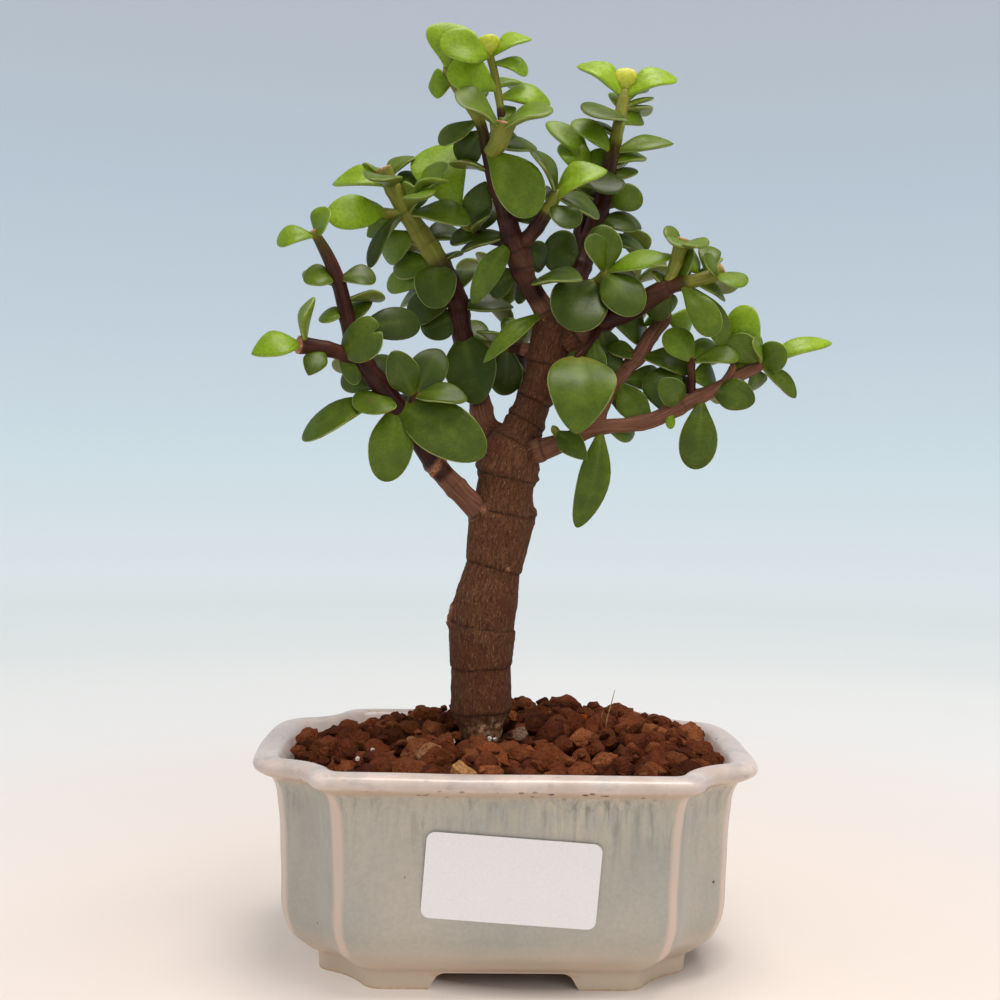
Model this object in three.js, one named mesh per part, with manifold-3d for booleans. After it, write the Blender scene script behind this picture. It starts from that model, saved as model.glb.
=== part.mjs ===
// A potted dwarf jade bonsai: a fat-leaved little tree in a notched, glazed bonsai pot.
// Millimetres, +Z up. The pot's own centre is the middle of the drawing, and the whole is then moved
// so that the origin lies under the middle of its box, on the surface that the feet stand on.
import * as THREE from "three";
import Module from "manifold-3d";
import { mergeVertices } from "three/addons/utils/BufferGeometryUtils.js";

const wasm = await Module();
wasm.setup();

// Driving dimensions
const POT_WIDTH = 120; // across the rim, corner to corner
const POT_HEIGHT = 53.7;
const POT_DEPTH_STEP = 30.4; // how much less the pot measures from front to back than from side to side
const FOOT_HEIGHT = 4.1;
const GAP = 0.3; // between pieces that meet
const BOX_SHIFT = -9.6; // from the middle of the pot to the middle of the box, crown and all

const ROUND_SIDES = 11; // sides of the trunk
const LIMB_SIDES = 7;
const TWIG_SIDES = 5;
const SEED = 20417;

const COLOURS = {
  glaze: 0xb3ad9c, sticker: 0xf2f0ec, netting: 0x23262a, granules: 0x6b3a22, bark: 0x5a3d2c, leaf: 0x5e8a35,
};

// Small helpers

function randomFrom(seed) {
  let state = seed >>> 0;
  return () => {
    state = (state + 0x6d2b79f5) >>> 0;
    let t = Math.imul(state ^ (state >>> 15), 1 | state);
    t = (t + Math.imul(t ^ (t >>> 7), 61 | t)) ^ t;
    return ((t ^ (t >>> 14)) >>> 0) / 4294967296;
  };
}

const vec = (list) => new THREE.Vector3(list[0], list[1], list[2]);
const mix = (a, b, t) => a + (b - a) * t;

// A closed solid from points and triangles that index them.
function solid(points, triangles) {
  return new wasm.Manifold(new wasm.Mesh({
    numProp: 3,
    vertProperties: Float32Array.from(points.flatMap((p) => [p.x, p.y, p.z])),
    triVerts: Uint32Array.from(triangles.flat()),
  }));
}

// A three.js geometry as a closed solid, moved to its place.
function solidOf(geometry, matrix = new THREE.Matrix4()) {
  const plain = geometry.clone();
  plain.deleteAttribute("normal");
  plain.deleteAttribute("uv");
  plain.applyMatrix4(matrix);
  const merged = mergeVertices(plain, 1e-4);
  return new wasm.Manifold(new wasm.Mesh({
    numProp: 3,
    vertProperties: Float32Array.from(merged.attributes.position.array),
    triVerts: Uint32Array.from(merged.index.array),
  }));
}

// Rings of equally many points, each ring one step further along, closed by a fan at both ends.
function loft(rings) {
  const count = rings[0].length;
  const points = rings.flat();
  const triangles = [];
  for (let r = 0; r + 1 < rings.length; r++) {
    for (let i = 0; i < count; i++) {
      const j = (i + 1) % count;
      const [a, b, c, d] = [r * count + i, r * count + j, (r + 1) * count + i, (r + 1) * count + j];
      triangles.push([a, b, d], [a, d, c]);
    }
  }
  const middle = (ring) => ring.reduce((sum, p) => sum.add(p), new THREE.Vector3()).divideScalar(count);
  const low = points.push(middle(rings[0])) - 1;
  const high = points.push(middle(rings[rings.length - 1])) - 1;
  const top = (rings.length - 1) * count;
  for (let i = 0; i < count; i++) {
    const j = (i + 1) % count;
    triangles.push([low, j, i], [high, top + i, top + j]);
  }
  return solid(points, triangles);
}

// A round stem through [x, y, z, radius] points, flat at both ends.
function stem(path, sides, grow = 0) {
  const at = path.map(vec);
  let side = new THREE.Vector3(1, 0, 0);
  const rings = at.map((centre, i) => {
    const along = at[Math.min(i + 1, at.length - 1)].clone().sub(at[Math.max(i - 1, 0)]).normalize();
    side = side.clone().sub(along.clone().multiplyScalar(side.dot(along)));
    if (side.lengthSq() < 0.01) side = new THREE.Vector3(0, 1, 0).cross(along);
    side.normalize();
    const other = along.clone().cross(side);
    return Array.from({ length: sides }, (_, k) => {
      const turn = (2 * Math.PI * k) / sides;
      const radius = path[i][3] + grow;
      return centre.clone().addScaledVector(side, radius * Math.cos(turn))
        .addScaledVector(other, radius * Math.sin(turn));
    });
  });
  return loft(rings);
}

const ROOT_SINK = 1.7; // how far inside a stem's flat end the last leaves are rooted

// The point a share of the way along a path, with the way it runs there.
function pointAlong(path, share) {
  const at = path.map(vec);
  const lengths = at.slice(1).map((p, i) => p.distanceTo(at[i]));
  const whole = lengths.reduce((a, b) => a + b, 0);
  let left = Math.min(share * whole, whole - ROOT_SINK);
  for (let i = 0; i < lengths.length; i++) {
    if (left <= lengths[i] || i === lengths.length - 1) {
      const t = Math.min(left / lengths[i], 1);
      return { point: at[i].clone().lerp(at[i + 1], t), along: at[i + 1].clone().sub(at[i]).normalize() };
    }
    left -= lengths[i];
  }
  return null;
}

// The pot

const CORNER_NOTCH = 13; // at the foot; it grows with the flare
const NOTCH_GROWTH = 0.2;
const SIDE_BOW = 0.11; // how much the short sides bulge for each millimetre of flare
const FRONT_BOW = 0.4; // the long sides' bulge, as a share of that
const RIDGE_ROUNDING = 3.4;
const LOBE_ROUNDING = 3; // of the corners beside the notches on the short sides
const LOBE_GROWTH = 0.4; // for each millimetre of flare
const FOOT_HALF = 45.2;

// The pot's notched outline at one half width, as points round the middle.
function outline(half, z) {
  const depth = half - POT_DEPTH_STEP / 2;
  const notch = CORNER_NOTCH + NOTCH_GROWTH * (half - FOOT_HALF);
  const bow = Math.max(0, SIDE_BOW * (half - FOOT_HALF));
  const dip = 0.45 + 0.02 * (half - FOOT_HALF);
  const front = [half - notch, depth];
  const flank = [half, depth - notch];
  const inner = [
    mix((front[0] + flank[0]) / 2, front[0], dip),
    mix((front[1] + flank[1]) / 2, flank[1], dip),
  ];
  const curve = (a, b, c, t) => [0, 1].map(
    (k) => a[k] * (1 - t) ** 2 + 2 * b[k] * t * (1 - t) + c[k] * t * t,
  );
  const round = RIDGE_ROUNDING;
  const lobe = LOBE_ROUNDING + LOBE_GROWTH * (half - FOOT_HALF);
  const hollow = (t) => curve(front, inner, flank, t);
  const quarter = [
    [0, depth + bow * FRONT_BOW],
    [front[0] - round, depth],
    curve([front[0] - round, depth], front, hollow(0.2), 0.5),
    hollow(0.2), hollow(0.5), hollow(0.8),
    curve(hollow(0.8), flank, [half + bow * 0.3, flank[1] - lobe], 0.5),
    [half + bow * 0.5, flank[1] - lobe],
    [half + bow, 0],
  ];
  const all = [];
  for (const [x, y] of quarter.slice(0, -1)) all.push([x, y]);
  for (const [x, y] of quarter.slice(1).reverse()) all.push([x, -y]);
  for (const [x, y] of quarter.slice(0, -1)) all.push([-x, -y]);
  for (const [x, y] of quarter.slice(1).reverse()) all.push([-x, y]);
  return all.reverse().map(([x, y]) => new THREE.Vector3(x, y, z));
}

// [height, half width] from the foot up over the rounded lip
const RIM_HALF = POT_WIDTH / 2;
const OUTER = [
  [0, FOOT_HALF], [4.8, 46.2], [5.4, 47.2], [7.4, 49.4], [9.8, 51.7], [13.5, 53.2], [41, 54.9],
  [46.2, 55.7], [48.6, 56.9], [49.9, 59.2], [51.2, RIM_HALF + 0.5], [52.6, RIM_HALF + 0.4],
  [POT_HEIGHT, RIM_HALF - 1.8],
];
const INNER = [[53.3, 55.4], [51.6, 54.2], [48, 52.6], [40, 49.6], [14, 46.5], [9.6, 43]];
const FLOOR = INNER[INNER.length - 1][0];
const DRAIN_RADIUS = 7;
const DRAIN_SIDES = 20;
const FOOT_WIDTH = 9.5;
const CHANNEL_ACROSS = 15.5; // half the gap between the two front feet
const CHANNEL_ALONG = 8.5; // half the gap between a front foot and the one behind it

function makePot() {
  const body = loft([...OUTER, ...INNER].map(([z, half]) => outline(half, z)));
  // The arch between two feet has sloping ends, like the cut-outs of a thrown foot ring.
  const arch = (half, reach, turned) => {
    const right = [[half + 3, -1], [half + 2, 0.9], [half, FOOT_HEIGHT]];
    const left = right.map(([x, y]) => [-x, y]).reverse();
    const shape = new THREE.Shape([...right, ...left].map(([x, y]) => new THREE.Vector2(x, y)));
    const cut = new THREE.ExtrudeGeometry(shape, { depth: 2 * reach, bevelEnabled: false });
    const upright = new THREE.Matrix4().makeRotationX(Math.PI / 2).setPosition(0, reach, 0);
    return solidOf(cut, new THREE.Matrix4().makeRotationZ(turned).multiply(upright));
  };
  const recess = loft([-1, FOOT_HEIGHT].map((z) => outline(FOOT_HALF - FOOT_WIDTH, z)));
  const drain = solidOf(
    new THREE.CylinderGeometry(DRAIN_RADIUS, DRAIN_RADIUS, 2 * FLOOR, DRAIN_SIDES),
    new THREE.Matrix4().makeRotationX(Math.PI / 2).setPosition(0, 0, FLOOR / 2),
  );
  return body.subtract(arch(CHANNEL_ACROSS, 60, 0)).subtract(arch(CHANNEL_ALONG, 80, Math.PI / 2))
    .subtract(recess).subtract(drain);
}

// A square of plastic netting over the drain hole keeps the granules in.
const NET_HALF = 11;
const NET_THICK = 0.8;
const NET_HOLE = 4.6;
const NET_PITCH = 6.4;

// The floor of a recess, or a run of holes, is cut by a box that stands well clear above and below.
const CUT_HEIGHT = 4;

function makeNetting() {
  let net = solidOf(
    new THREE.BoxGeometry(2 * NET_HALF, 2 * NET_HALF, NET_THICK),
    new THREE.Matrix4().makeTranslation(0, 0, FLOOR + GAP + NET_THICK / 2),
  );
  for (let i = -1; i <= 1; i++) {
    for (let j = -1; j <= 1; j++) {
      const place = new THREE.Matrix4().makeTranslation(i * NET_PITCH, j * NET_PITCH, FLOOR);
      net = net.subtract(solidOf(new THREE.BoxGeometry(NET_HOLE, NET_HOLE, CUT_HEIGHT), place));
    }
  }
  return net;
}

// A bare, round-cornered sticker on the front wall, turned a few degrees.
const LABEL = { width: 40.4, height: 20.2, corner: 2, thick: 0.6, x: 1.1, z: 28.9, turn: -3.9 };

function makeLabel() {
  const { width, height, corner, thick, x, z, turn } = LABEL;
  const shape = new THREE.Shape();
  const [w, h] = [width / 2, height / 2];
  shape.moveTo(-w + corner, -h);
  shape.lineTo(w - corner, -h);
  shape.absarc(w - corner, -h + corner, corner, -Math.PI / 2, 0);
  shape.absarc(w - corner, h - corner, corner, 0, Math.PI / 2);
  shape.absarc(-w + corner, h - corner, corner, Math.PI / 2, Math.PI);
  shape.absarc(-w + corner, -h + corner, corner, Math.PI, 1.5 * Math.PI);
  const plate = new THREE.ExtrudeGeometry(shape, { depth: thick, bevelEnabled: false, curveSegments: 3 });
  const [low, high] = [OUTER[5], OUTER[6]];
  const lean = Math.atan2(high[1] - low[1], high[0] - low[0]);
  const half = mix(low[1], high[1], (z - low[0]) / (high[0] - low[0]));
  const wall = half - POT_DEPTH_STEP / 2 + FRONT_BOW * SIDE_BOW * (half - FOOT_HALF);
  const place = new THREE.Matrix4().makeTranslation(x, -wall - GAP, z)
    .multiply(new THREE.Matrix4().makeRotationX(Math.PI / 2 + lean))
    .multiply(new THREE.Matrix4().makeRotationZ((turn * Math.PI) / 180));
  return solidOf(plate, place);
}

// The trunk

// [x, y, z, radius]: a leaf scar is a close pair of points with a step in radius
const TRUNK = [
  [-6.4, 0, 36, 5], [-6, 0, 44, 5.2], [-5.6, 0, 54, 5.2], [-5.9, 0, 58, 6], [-6.6, 0, 60.4, 7.4],
  [-6.6, 0, 61.4, 7.8], [-6.2, 0, 72, 7.3], [-6.1, 0, 73, 7.6], [-6.2, 0, 82.6, 8.3], [-6, 0, 83.8, 7.8],
  [-4.6, 0, 90, 8.0], [-3.5, 0, 97.6, 7.0], [-3.4, 0, 98.8, 7.3], [-2.5, 0, 105, 7.8],
  [-1.6, 0, 111, 8.4], [-1.4, 0, 112.2, 7.6], [-0.2, 0, 119.6, 7.1], [0, 0, 121, 7.7],
  [0.5, 0, 126, 7.9], [1.2, 0.2, 129.4, 6.6], [2.6, 0.6, 130.6, 5.2], [4, 1, 134.8, 5.1],
  [4.6, 1, 136, 4.5], [7.2, 1, 145, 4.1], [9.2, 1, 150.4, 4.5], [9.5, 1, 151.6, 5.0],
  [10.8, 1, 157.4, 5.4], [11.6, 1, 161.4, 5.2],
];

// The limbs: each list of points starts where the limb leaves the trunk's stub.
// Leaves are [share along the stem, tip x, y, z, width, the way its upper side faces].
// A limb leans away from the front by its lean, the more the further out, along the line of sight from EYE.
const EYE = [-10.3, -349.9, 121.7];
const LEAN_REACH = 70;
const U = [0, 0, 1];
const F = [0, -1, 0.15];
const UF = [0, -1, 1];
const L = [-1, -0.3, 0.2];
const R = [1, -0.3, 0.2];
const FL = [-0.8, -1, 0.3];
const FR = [0.8, -1, 0.3];

const DRAWN = {
  limb_low_left: {
    lean: -7,
    heart: [-2, 0, 107.5],
    stems: {
      main: [[-11.5, -5, 116.6, 2.8], [-18, -7, 123.6, 2.7], [-23.5, -9, 131.5, 2.6],
        [-30.5, -11, 141.5, 2.5], [-37, -12, 149.5, 2.5], [-40, -12, 157, 2.0], [-41.5, -12, 163, 1.9],
        [-43.5, -12, 170, 1.7], [-46.5, -12, 176.5, 1.5], [-49.5, -12, 181.5, 1.0]],
      spur: [[-26.5, -10, 135.8, 1.5], [-24.6, -11.5, 139, 1.2], [-23.3, -12, 142.5, 1]],
      stub: [[-37, -12, 149.5, 2.1], [-43, -14, 151.5, 1.9], [-52.1, -17.5, 152.8, 2.1]],
    },
    leaves: {
      main: [[0.72, -48, -10, 160, 7, UF], [0.76, -32, -8, 165, 9, U],
        [0.66, -23, -7, 160, 9, F], [0.55, -42, -14, 147, 9, F], [0.45, -42.5, -4, 147, 9, F],
        [0.42, -51.5, -12, 129.7, 9.5, UF], [0.42, -36.3, -18, 136.4, 12, UF],
        [0.38, -30.8, -14, 119.7, 11, F],
        [0.38, -6.5, -20, 126.4, 14, F], [0.44, -32, -2, 147, 5, F], [1, -58.2, -13, 177.7, 7.5, UF],
        [1, -45.5, -14, 186.5, 8, FL], [0.83, -51.8, -12, 169.7, 8, UF], [0.83, -33.8, -12, 170, 8, UF]],
      spur: [[1, -29.4, -16, 151.7, 8.5, F], [0.95, -17.6, -8, 153, 9.5, F], [0.9, -10.9, -18, 140, 7.5, UF]],
      stub: [[0.3, -31.9, -20, 156.9, 10.5, F], [1, -63, -20, 150, 9, UF], [1, -48, -20, 164, 8, L],
        [0.6, -49, -22, 145, 6, F]],
    },
    behind: [0.3, 0.52, 0.68, 0.8, 0.44],
  },
  limb_centre_left: {
    lean: 1,
    heart: [2, 1, 128],
    stems: {
      main: [[-5.5, 4, 134, 3.1], [-8, 6, 142.5, 2.8], [-11.5, 8, 152, 2.7], [-12.5, 8, 160, 2.6],
        [-14, 8, 167.5, 2.8], [-18.5, 7, 176.5, 2.8], [-23.5, 6, 184, 2.6], [-28, 5, 190.5, 2.3],
        [-31.5, 4, 196.5, 2.1], [-33.5, 3, 200.5, 2.1]],
      side: [[-28, 5, 189, 1.4], [-34, 3, 189, 1.3]],
      bud: [[-28, 5, 190, 1.1], [-25.5, 3, 192, 0.9]],
    },
    leaves: {
      main: [[0.93, -35.5, -13, 194, 10.5, U], [0.9, -24.5, 9, 200.5, 8, UF], [0.96, -39, 9, 202, 7, U],
        [0.96, -27, 9, 205, 8, U], [0.93, -47, 8, 197, 8, UF], [0.83, -36, -4, 173.8, 5.5, FL],
        [0.75, -34, 14, 180, 9, F], [0.83, -38, 10, 184, 8, F], [0.82, -16.5, -4, 200, 10.5, UF],
        [0.82, -11, -6, 185, 9, UF], [0.72, -13, 13, 186, 9, UF], [0.62, -19, -2, 164, 11, F],
        [0.62, -31, 14, 177, 8, F], [0.56, -33, 18, 172, 7, F], [0.53, -29, 16, 167, 8, UF],
        [0.48, -27, 10, 163, 9, F], [0.43, -23, 8, 159, 9, F], [0.45, 1, 9, 166, 9, UF],
        [0.62, -13, 10, 180, 8, U], [0.36, -8, 0, 140, 14, F]],
      side: [[0.94, -46.5, -7, 185, 10, F], [0.83, -43, 12, 194, 8, U]],
      bud: [[0.67, -28, 2, 197, 6, U], [0.74, -17, -9, 195, 6, U], [0.55, -21, -10, 191, 8, UF]],
    },
    behind: [0.5, 0.66, 0.82],
  },
  limb_leader: {
    lean: -5,
    heart: [11.2, 0.6, 158],
    stems: {
      main: [[8.8, -0.6, 163.8, 2.9], [6, -1.6, 168, 2.6], [3.5, -2, 172, 2.6], [2, -2, 177, 3.4],
        [0, -3, 181.5, 2.9], [-2, -4, 189, 2.3], [-5, -4, 196.5, 1.8], [-6.5, -5, 201.5, 1.4],
        [-8.5, -5, 210, 1.4], [-11, -5, 214.5, 1.5], [-14.5, -5, 218.5, 1.1], [-18, -5, 225, 0.8]],
      stub: [[-6, -6, 202.5, 2], [-4, -8, 205, 2.5], [-3, -9, 210, 3.1]],
      tip: [[-3, -7, 209.5, 1.1], [-4, -5, 216.5, 1.0], [-6, -4, 226, 1.0], [-7, -4, 229, 0.9]],
      right: [[2, -3, 180, 1.9], [6, -6, 184.5, 1.9], [9.5, -8, 190, 1.6], [11.5, -9, 193.5, 1.3]],
      left: [[0, -3, 181, 1.7], [-5.5, 1, 182.5, 1.5], [-10.5, 4, 184.5, 1.4], [-14, 5, 189.5, 1.2]],
    },
    leaves: {
      main: [[1.00, -16, -6, 235, 13, F], [0.93, -22, -2, 220, 8, F], [0.76, -19, -5, 205, 8, UF],
        [0.72, -14, 0, 202, 8, F], [0.68, 1, 3, 209, 7, F], [0.66, 6, 5, 207, 7, UF],
        [0.65, 5, -13, 186, 12.5, F], [0.32, -13, 4, 180, 9, UF], [0.3, -10, -6, 165, 6.5, F],
        [0.18, -6, 4, 170, 8, F], [0.12, 17, -15, 170, 10, UF], [0.27, 9, 4, 177, 8, F],
        [0.1, 1, 4, 169, 7, F], [0, -7, -7, 150, 5.5, UF]],
      stub: [[1.00, -15, -16, 214, 12, UF], [1.00, 9, -16, 211, 11, UF], [1.00, -2, -1, 216, 5, F]],
      tip: [[0.96, -19, -12, 227.6, 9.5, F], [0.98, 4, -6, 231.5, 8.5, UF], [1, -7.5, -6, 232.4, 5.6, F],
        [0.83, 3, -6, 222.5, 6.5, UF], [0.48, -17, -8, 223, 10, F],
        [0.38, 9, -4, 216, 8, UF], [0.52, 1, 6, 222, 7, UF]],
      right: [[1, 23, -12, 197.6, 9.5, UF], [1.00, 4, -10, 203, 8, R], [0.74, 15, -14, 183, 8, UF],
        [0.89, 22, -4, 188, 9, UF], [0.86, 4, -4, 193, 7, UF], [0.42, 2, 2, 189, 7, F]],
      left: [[0.95, -21.5, 13, 208.5, 14.5, F], [0.73, -7, 0, 197, 8, F], [0.63, -6, -4, 188, 7, UF],
        [0.62, -5, 9, 194, 7, F], [0.48, -16, 4, 182, 7, UF]],
    },
    behind: [0.4, 0.56, 0.82],
  },
  limb_upright_right: {
    lean: 14,
    heart: [12.6, 2, 158],
    stems: {
      main: [[14.2, 4.2, 163.8, 2.9], [16.5, 8, 171, 2.9], [19.5, 10, 180, 2.8], [22, 10, 188, 2.6],
        [24, 10, 194.5, 2.5], [25, 10, 200.5, 2.2], [26.5, 9, 207.5, 1.8], [28, 9, 215.5, 1.6],
        [29, 9, 222, 1.7], [29.5, 9, 224.5, 1.6]],
      twin: [[18.5, 10, 178.5, 1.7], [18, 12, 186, 1.6], [20.5, 14, 196.5, 1.5], [21.5, 15, 209, 1.1]],
      front: [[18, 8, 172, 1.8], [21.5, 1, 171.5, 1.5], [24, -6, 174, 1.1]],
    },
    leaves: {
      main: [[0.95, 16.5, 8, 229.3, 9.5, UF], [0.95, 42.8, 8, 226.5, 8, UF], [0.98, 29, 7, 228.8, 5.8, F],
        [0.91, 36, 14, 225, 6, U], [0.89, 37, 11, 222, 5, U],
        [0.89, 26, 14, 224, 4, U], [0.85, 18.5, -3, 213.8, 12.5, UF], [0.83, 34, 15, 219, 8, F],
        [0.71, 15, 6, 214, 9, UF], [0.71, 42, 6, 209, 8, UF], [0.67, 36, 14, 207, 7, UF],
        [0.63, 23, 0, 194.5, 11, F], [0.59, 33, 14, 204, 6, UF], [0.55, 34, 6, 193, 8, F],
        [0.47, 32, 12, 194, 5, U], [0.43, 33, 8, 187, 8, UF], [0.43, 35, 15, 189, 6, UF],
        [0.35, 37, 14, 181, 7, UF], [0.24, 8.5, 3, 182, 11.5, F], [0.24, 16, 20, 178, 9, F]],
      twin: [[0.87, 9, 14, 216, 7.5, UF], [0.75, 13, 17, 211, 8, F], [0.80, 25, 14, 209, 6, F],
        [0.51, 14, 18, 201, 8, F], [0.51, 26, 20, 201, 7, F]],
      front: [[1.00, 22, -8, 185, 9, F], [1.00, 18, -12, 181, 8, FR], [1.00, 39, -14, 176, 9, UF],
        [1.00, 31, -14, 162, 11, F], [0.61, 13.8, -12.5, 158.3, 15, F], [0.90, 32, 2, 173, 7, U]],
    },
    behind: [0.3, 0.5, 0.64, 0.78, 0.9],
  },
  limb_right: {
    lean: -3,
    heart: [10.5, -1, 153],
    stems: {
      main: [[20, -3.6, 159.7, 2.5], [30.5, -6, 164.5, 2.7], [36, -8, 168, 2.5], [40, -9, 170, 2.0],
        [44.5, -9, 171, 1.8], [48.5, -9, 172, 1.7], [52.8, -9, 173.9, 2]],
      twig: [[38.5, -9, 169, 1.4], [40.5, -9, 174.5, 1.6], [41.6, -9, 178.5, 1.8], [42.5, -9, 181.7, 1.9]],
      drop: [[22.5, -4.2, 160.6, 1.4], [20.5, -7.5, 156.5, 1.1], [15.5, -11, 150.5, 0.9]],
    },
    leaves: {
      main: [[0.6, 36, -4, 162, 7, F], [0.54, 41, -2, 164, 6, F], [0.6, 36, -6, 174, 7, U],
        [0.69, 50, -16, 157, 7.5, F], [0.73, 54.2, -8, 155, 6.5, F], [0.78, 54.1, -6, 167, 6.5, UF],
        [0.88, 50.5, -3, 181, 6, F], [0.96, 47, -15, 176, 6, R], [0.96, 56, -16, 169, 8, UF],
        [0.91, 52, -2, 177, 7, FL], [0.14, 35, 5, 160, 10, F], [0.06, 25, 6, 152, 8, F]],
      twig: [[0.96, 37.6, -10, 184.2, 6.5, UF], [0.55, 47.9, -3, 177, 7.5, F],
        [0.93, 46.9, -16, 178.6, 8, UF], [0.92, 39.3, -16, 179, 6.5, UF],
        [0.62, 45, -4, 173, 9, F], [0.62, 38, -1, 178, 7, U]],
      drop: [[0.96, 15.9, -20, 132.1, 17, F], [0.3, 21.6, -9.5, 146.3, 5.5, F]],
    },
    behind: [0.35, 0.7, 0.9],
  },
  limb_low_right: {
    lean: 5,
    heart: [1.5, -2, 126],
    stems: {
      main: [[12.5, -6, 130, 2.4], [15, -7, 131, 2.1], [20, -8, 133.5, 1.9], [24.5, -9, 134.5, 1.8],
        [30, -9, 135, 1.8], [35, -10, 136, 1.9], [40.5, -10, 138.5, 2.0], [44.5, -10, 141, 2.0],
        [50, -11, 143.5, 1.7], [53.5, -11, 145.5, 1.5], [57.5, -11, 148, 1.5], [61.5, -11, 150, 1.4],
        [63.5, -11, 151.5, 1.1]],
      fork: [[21.5, -8, 134, 1.9], [23.5, -6, 140.5, 1.9], [26, -4, 144.5, 1.9], [29.5, -3, 149.5, 1.9],
        [32.5, -3, 152.5, 2.0], [35.5, -2, 157.5, 1.9], [39, -1, 162, 1.8], [41, 0, 164.5, 1.7]],
      rise: [[45, -10, 141.5, 1.2], [45, -11, 146, 1.1], [45, -11, 150.5, 1.0], [45.5, -11, 152.5, 0.9]],
      scar: [[52.5, -11, 145, 1.1], [54.5, -12, 148, 1.0], [55.5, -12, 150.5, 1.0]],
      back: [[56.5, -11, 147.5, 0.9], [57, -7, 151.5, 0.8], [56, -4, 155.5, 0.7]],
      bud: [[13.4, -6.3, 130.4, 1.2], [10.6, -8, 134.5, 1.0]],
    },
    leaves: {
      main: [[0.57, 37, -14, 146, 7, F], [0.2, 17, -11, 109, 8.2, F], [0.22, 32, -3, 133, 6, F],
        [0.52, 39.8, -12, 134, 2.5, F], [0.67, 46, -12, 124, 9.6, F], [0.72, 60, -16, 141, 8.5, F],
        [0.72, 53, -3, 141, 6, U], [1, 70.8, -13, 142.2, 5, UF], [1, 56.5, -11, 165, 8.5, FL],
        [1, 79.8, -12, 156.2, 6, UF], [1.00, 59, -16, 156, 7, R], [1.00, 67, -17, 154, 8, F],
        [0.96, 54, -13, 157, 8, FL], [0.93, 63, -5, 145, 6, F], [0.66, 38, -4, 147, 7, UF]],
      fork: [[0.60, 46, -7, 149, 9, UF], [0.60, 24.5, -4, 154.5, 7, UF], [0.47, 23, -4, 151, 8, F],
        [0.38, 35.4, -9, 134.5, 8, F], [0.39, 39, 3, 148, 7, F], [0.19, 15, -6, 153, 8, FL],
        [0.24, 31, 3, 141, 8, F], [0.91, 36, 6, 163, 7, F], [0.94, 47, 4, 161, 8, F]],
      rise: [[1.00, 39, -9, 159, 8, F], [1.00, 51, -4, 157, 7, F], [0.83, 56, -15, 152, 7, UF],
        [0.47, 52, -4, 148, 8, F]],
      back: [[1.00, 55, -3, 160, 6, F], [0.90, 53, -6, 156, 6, UF], [0.59, 53, 2, 152, 7, UF]],
      bud: [[1, 19, -14, 126, 6.5, F]],
    },
    behind: [0.3, 0.5, 0.74, 0.88],
  },
  twig_mid_left: {
    lean: 0,
    heart: [9, 1, 153.4],
    stems: {
      main: [[2.4, 3.9, 154.8, 1.6], [-1.5, 8, 156, 1.4], [-6.5, 13.5, 157, 1.2]],
    },
    leaves: {
      main: [[0.97, -13, 18, 163, 8, UF], [0.4, 2, 11, 163, 8, F], [0.35, -1.5, 12, 143, 9, F],
        [0.5, -8, 4, 159, 8, U], [0.97, -15, 18, 154, 9, UF]],
    },
    behind: [],
  },
  limb_back_left: {
    lean: 0,
    heart: [5, 1, 135],
    stems: {
      main: [[4, 8, 141, 2.3], [5, 14, 147, 2.1], [3, 21, 156, 1.9], [-1, 27, 168, 1.6], [-4, 31, 181, 1.2]],
    },
    leaves: { main: [] },
    behind: [0.22, 0.4, 0.56, 0.72, 0.86, 1],
  },
  limb_back_right: {
    lean: 0,
    heart: [9, 1, 149],
    stems: {
      main: [[15.5, 8.6, 153.4, 2.1], [21, 15, 158, 1.9], [28, 22, 164, 1.7], [34, 28, 173, 1.4],
        [37, 31, 184, 1.1]],
    },
    leaves: { main: [] },
    behind: [0.25, 0.45, 0.62, 0.8, 1],
  },
};

// The same limb, set back by its lean.
function leant(limb) {
  const [footX, , footZ] = limb.stems.main[0];
  const moved = ([x, y, z]) => {
    const far = Math.hypot(x - footX, z - footZ) / LEAN_REACH;
    const grow = 1 + (limb.lean * far ** 1.5) / (y - EYE[1]);
    return [x, y, z].map((value, k) => EYE[k] + (value - EYE[k]) * grow);
  };
  const each = (table, change) => Object.fromEntries(
    Object.entries(table).map(([name, rows]) => [name, rows.map(change)]),
  );
  return {
    ...limb,
    stems: each(limb.stems, ([x, y, z, radius]) => [...moved([x, y, z]), radius]),
    leaves: each(limb.leaves, ([share, x, y, z, ...rest]) => [share, ...moved([x, y, z]), ...rest]),
  };
}

const LIMBS = Object.fromEntries(Object.entries(DRAWN).map(([name, limb]) => [name, leant(limb)]));

const CROWN_THICK = 2.6; // a blade's thickness in its middle
const SMALL_LEAF = 12; // a blade shorter than this has fewer faces
const ARCH = 0.09; // how far a blade bulges towards its upper side, as a share of its length

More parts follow.
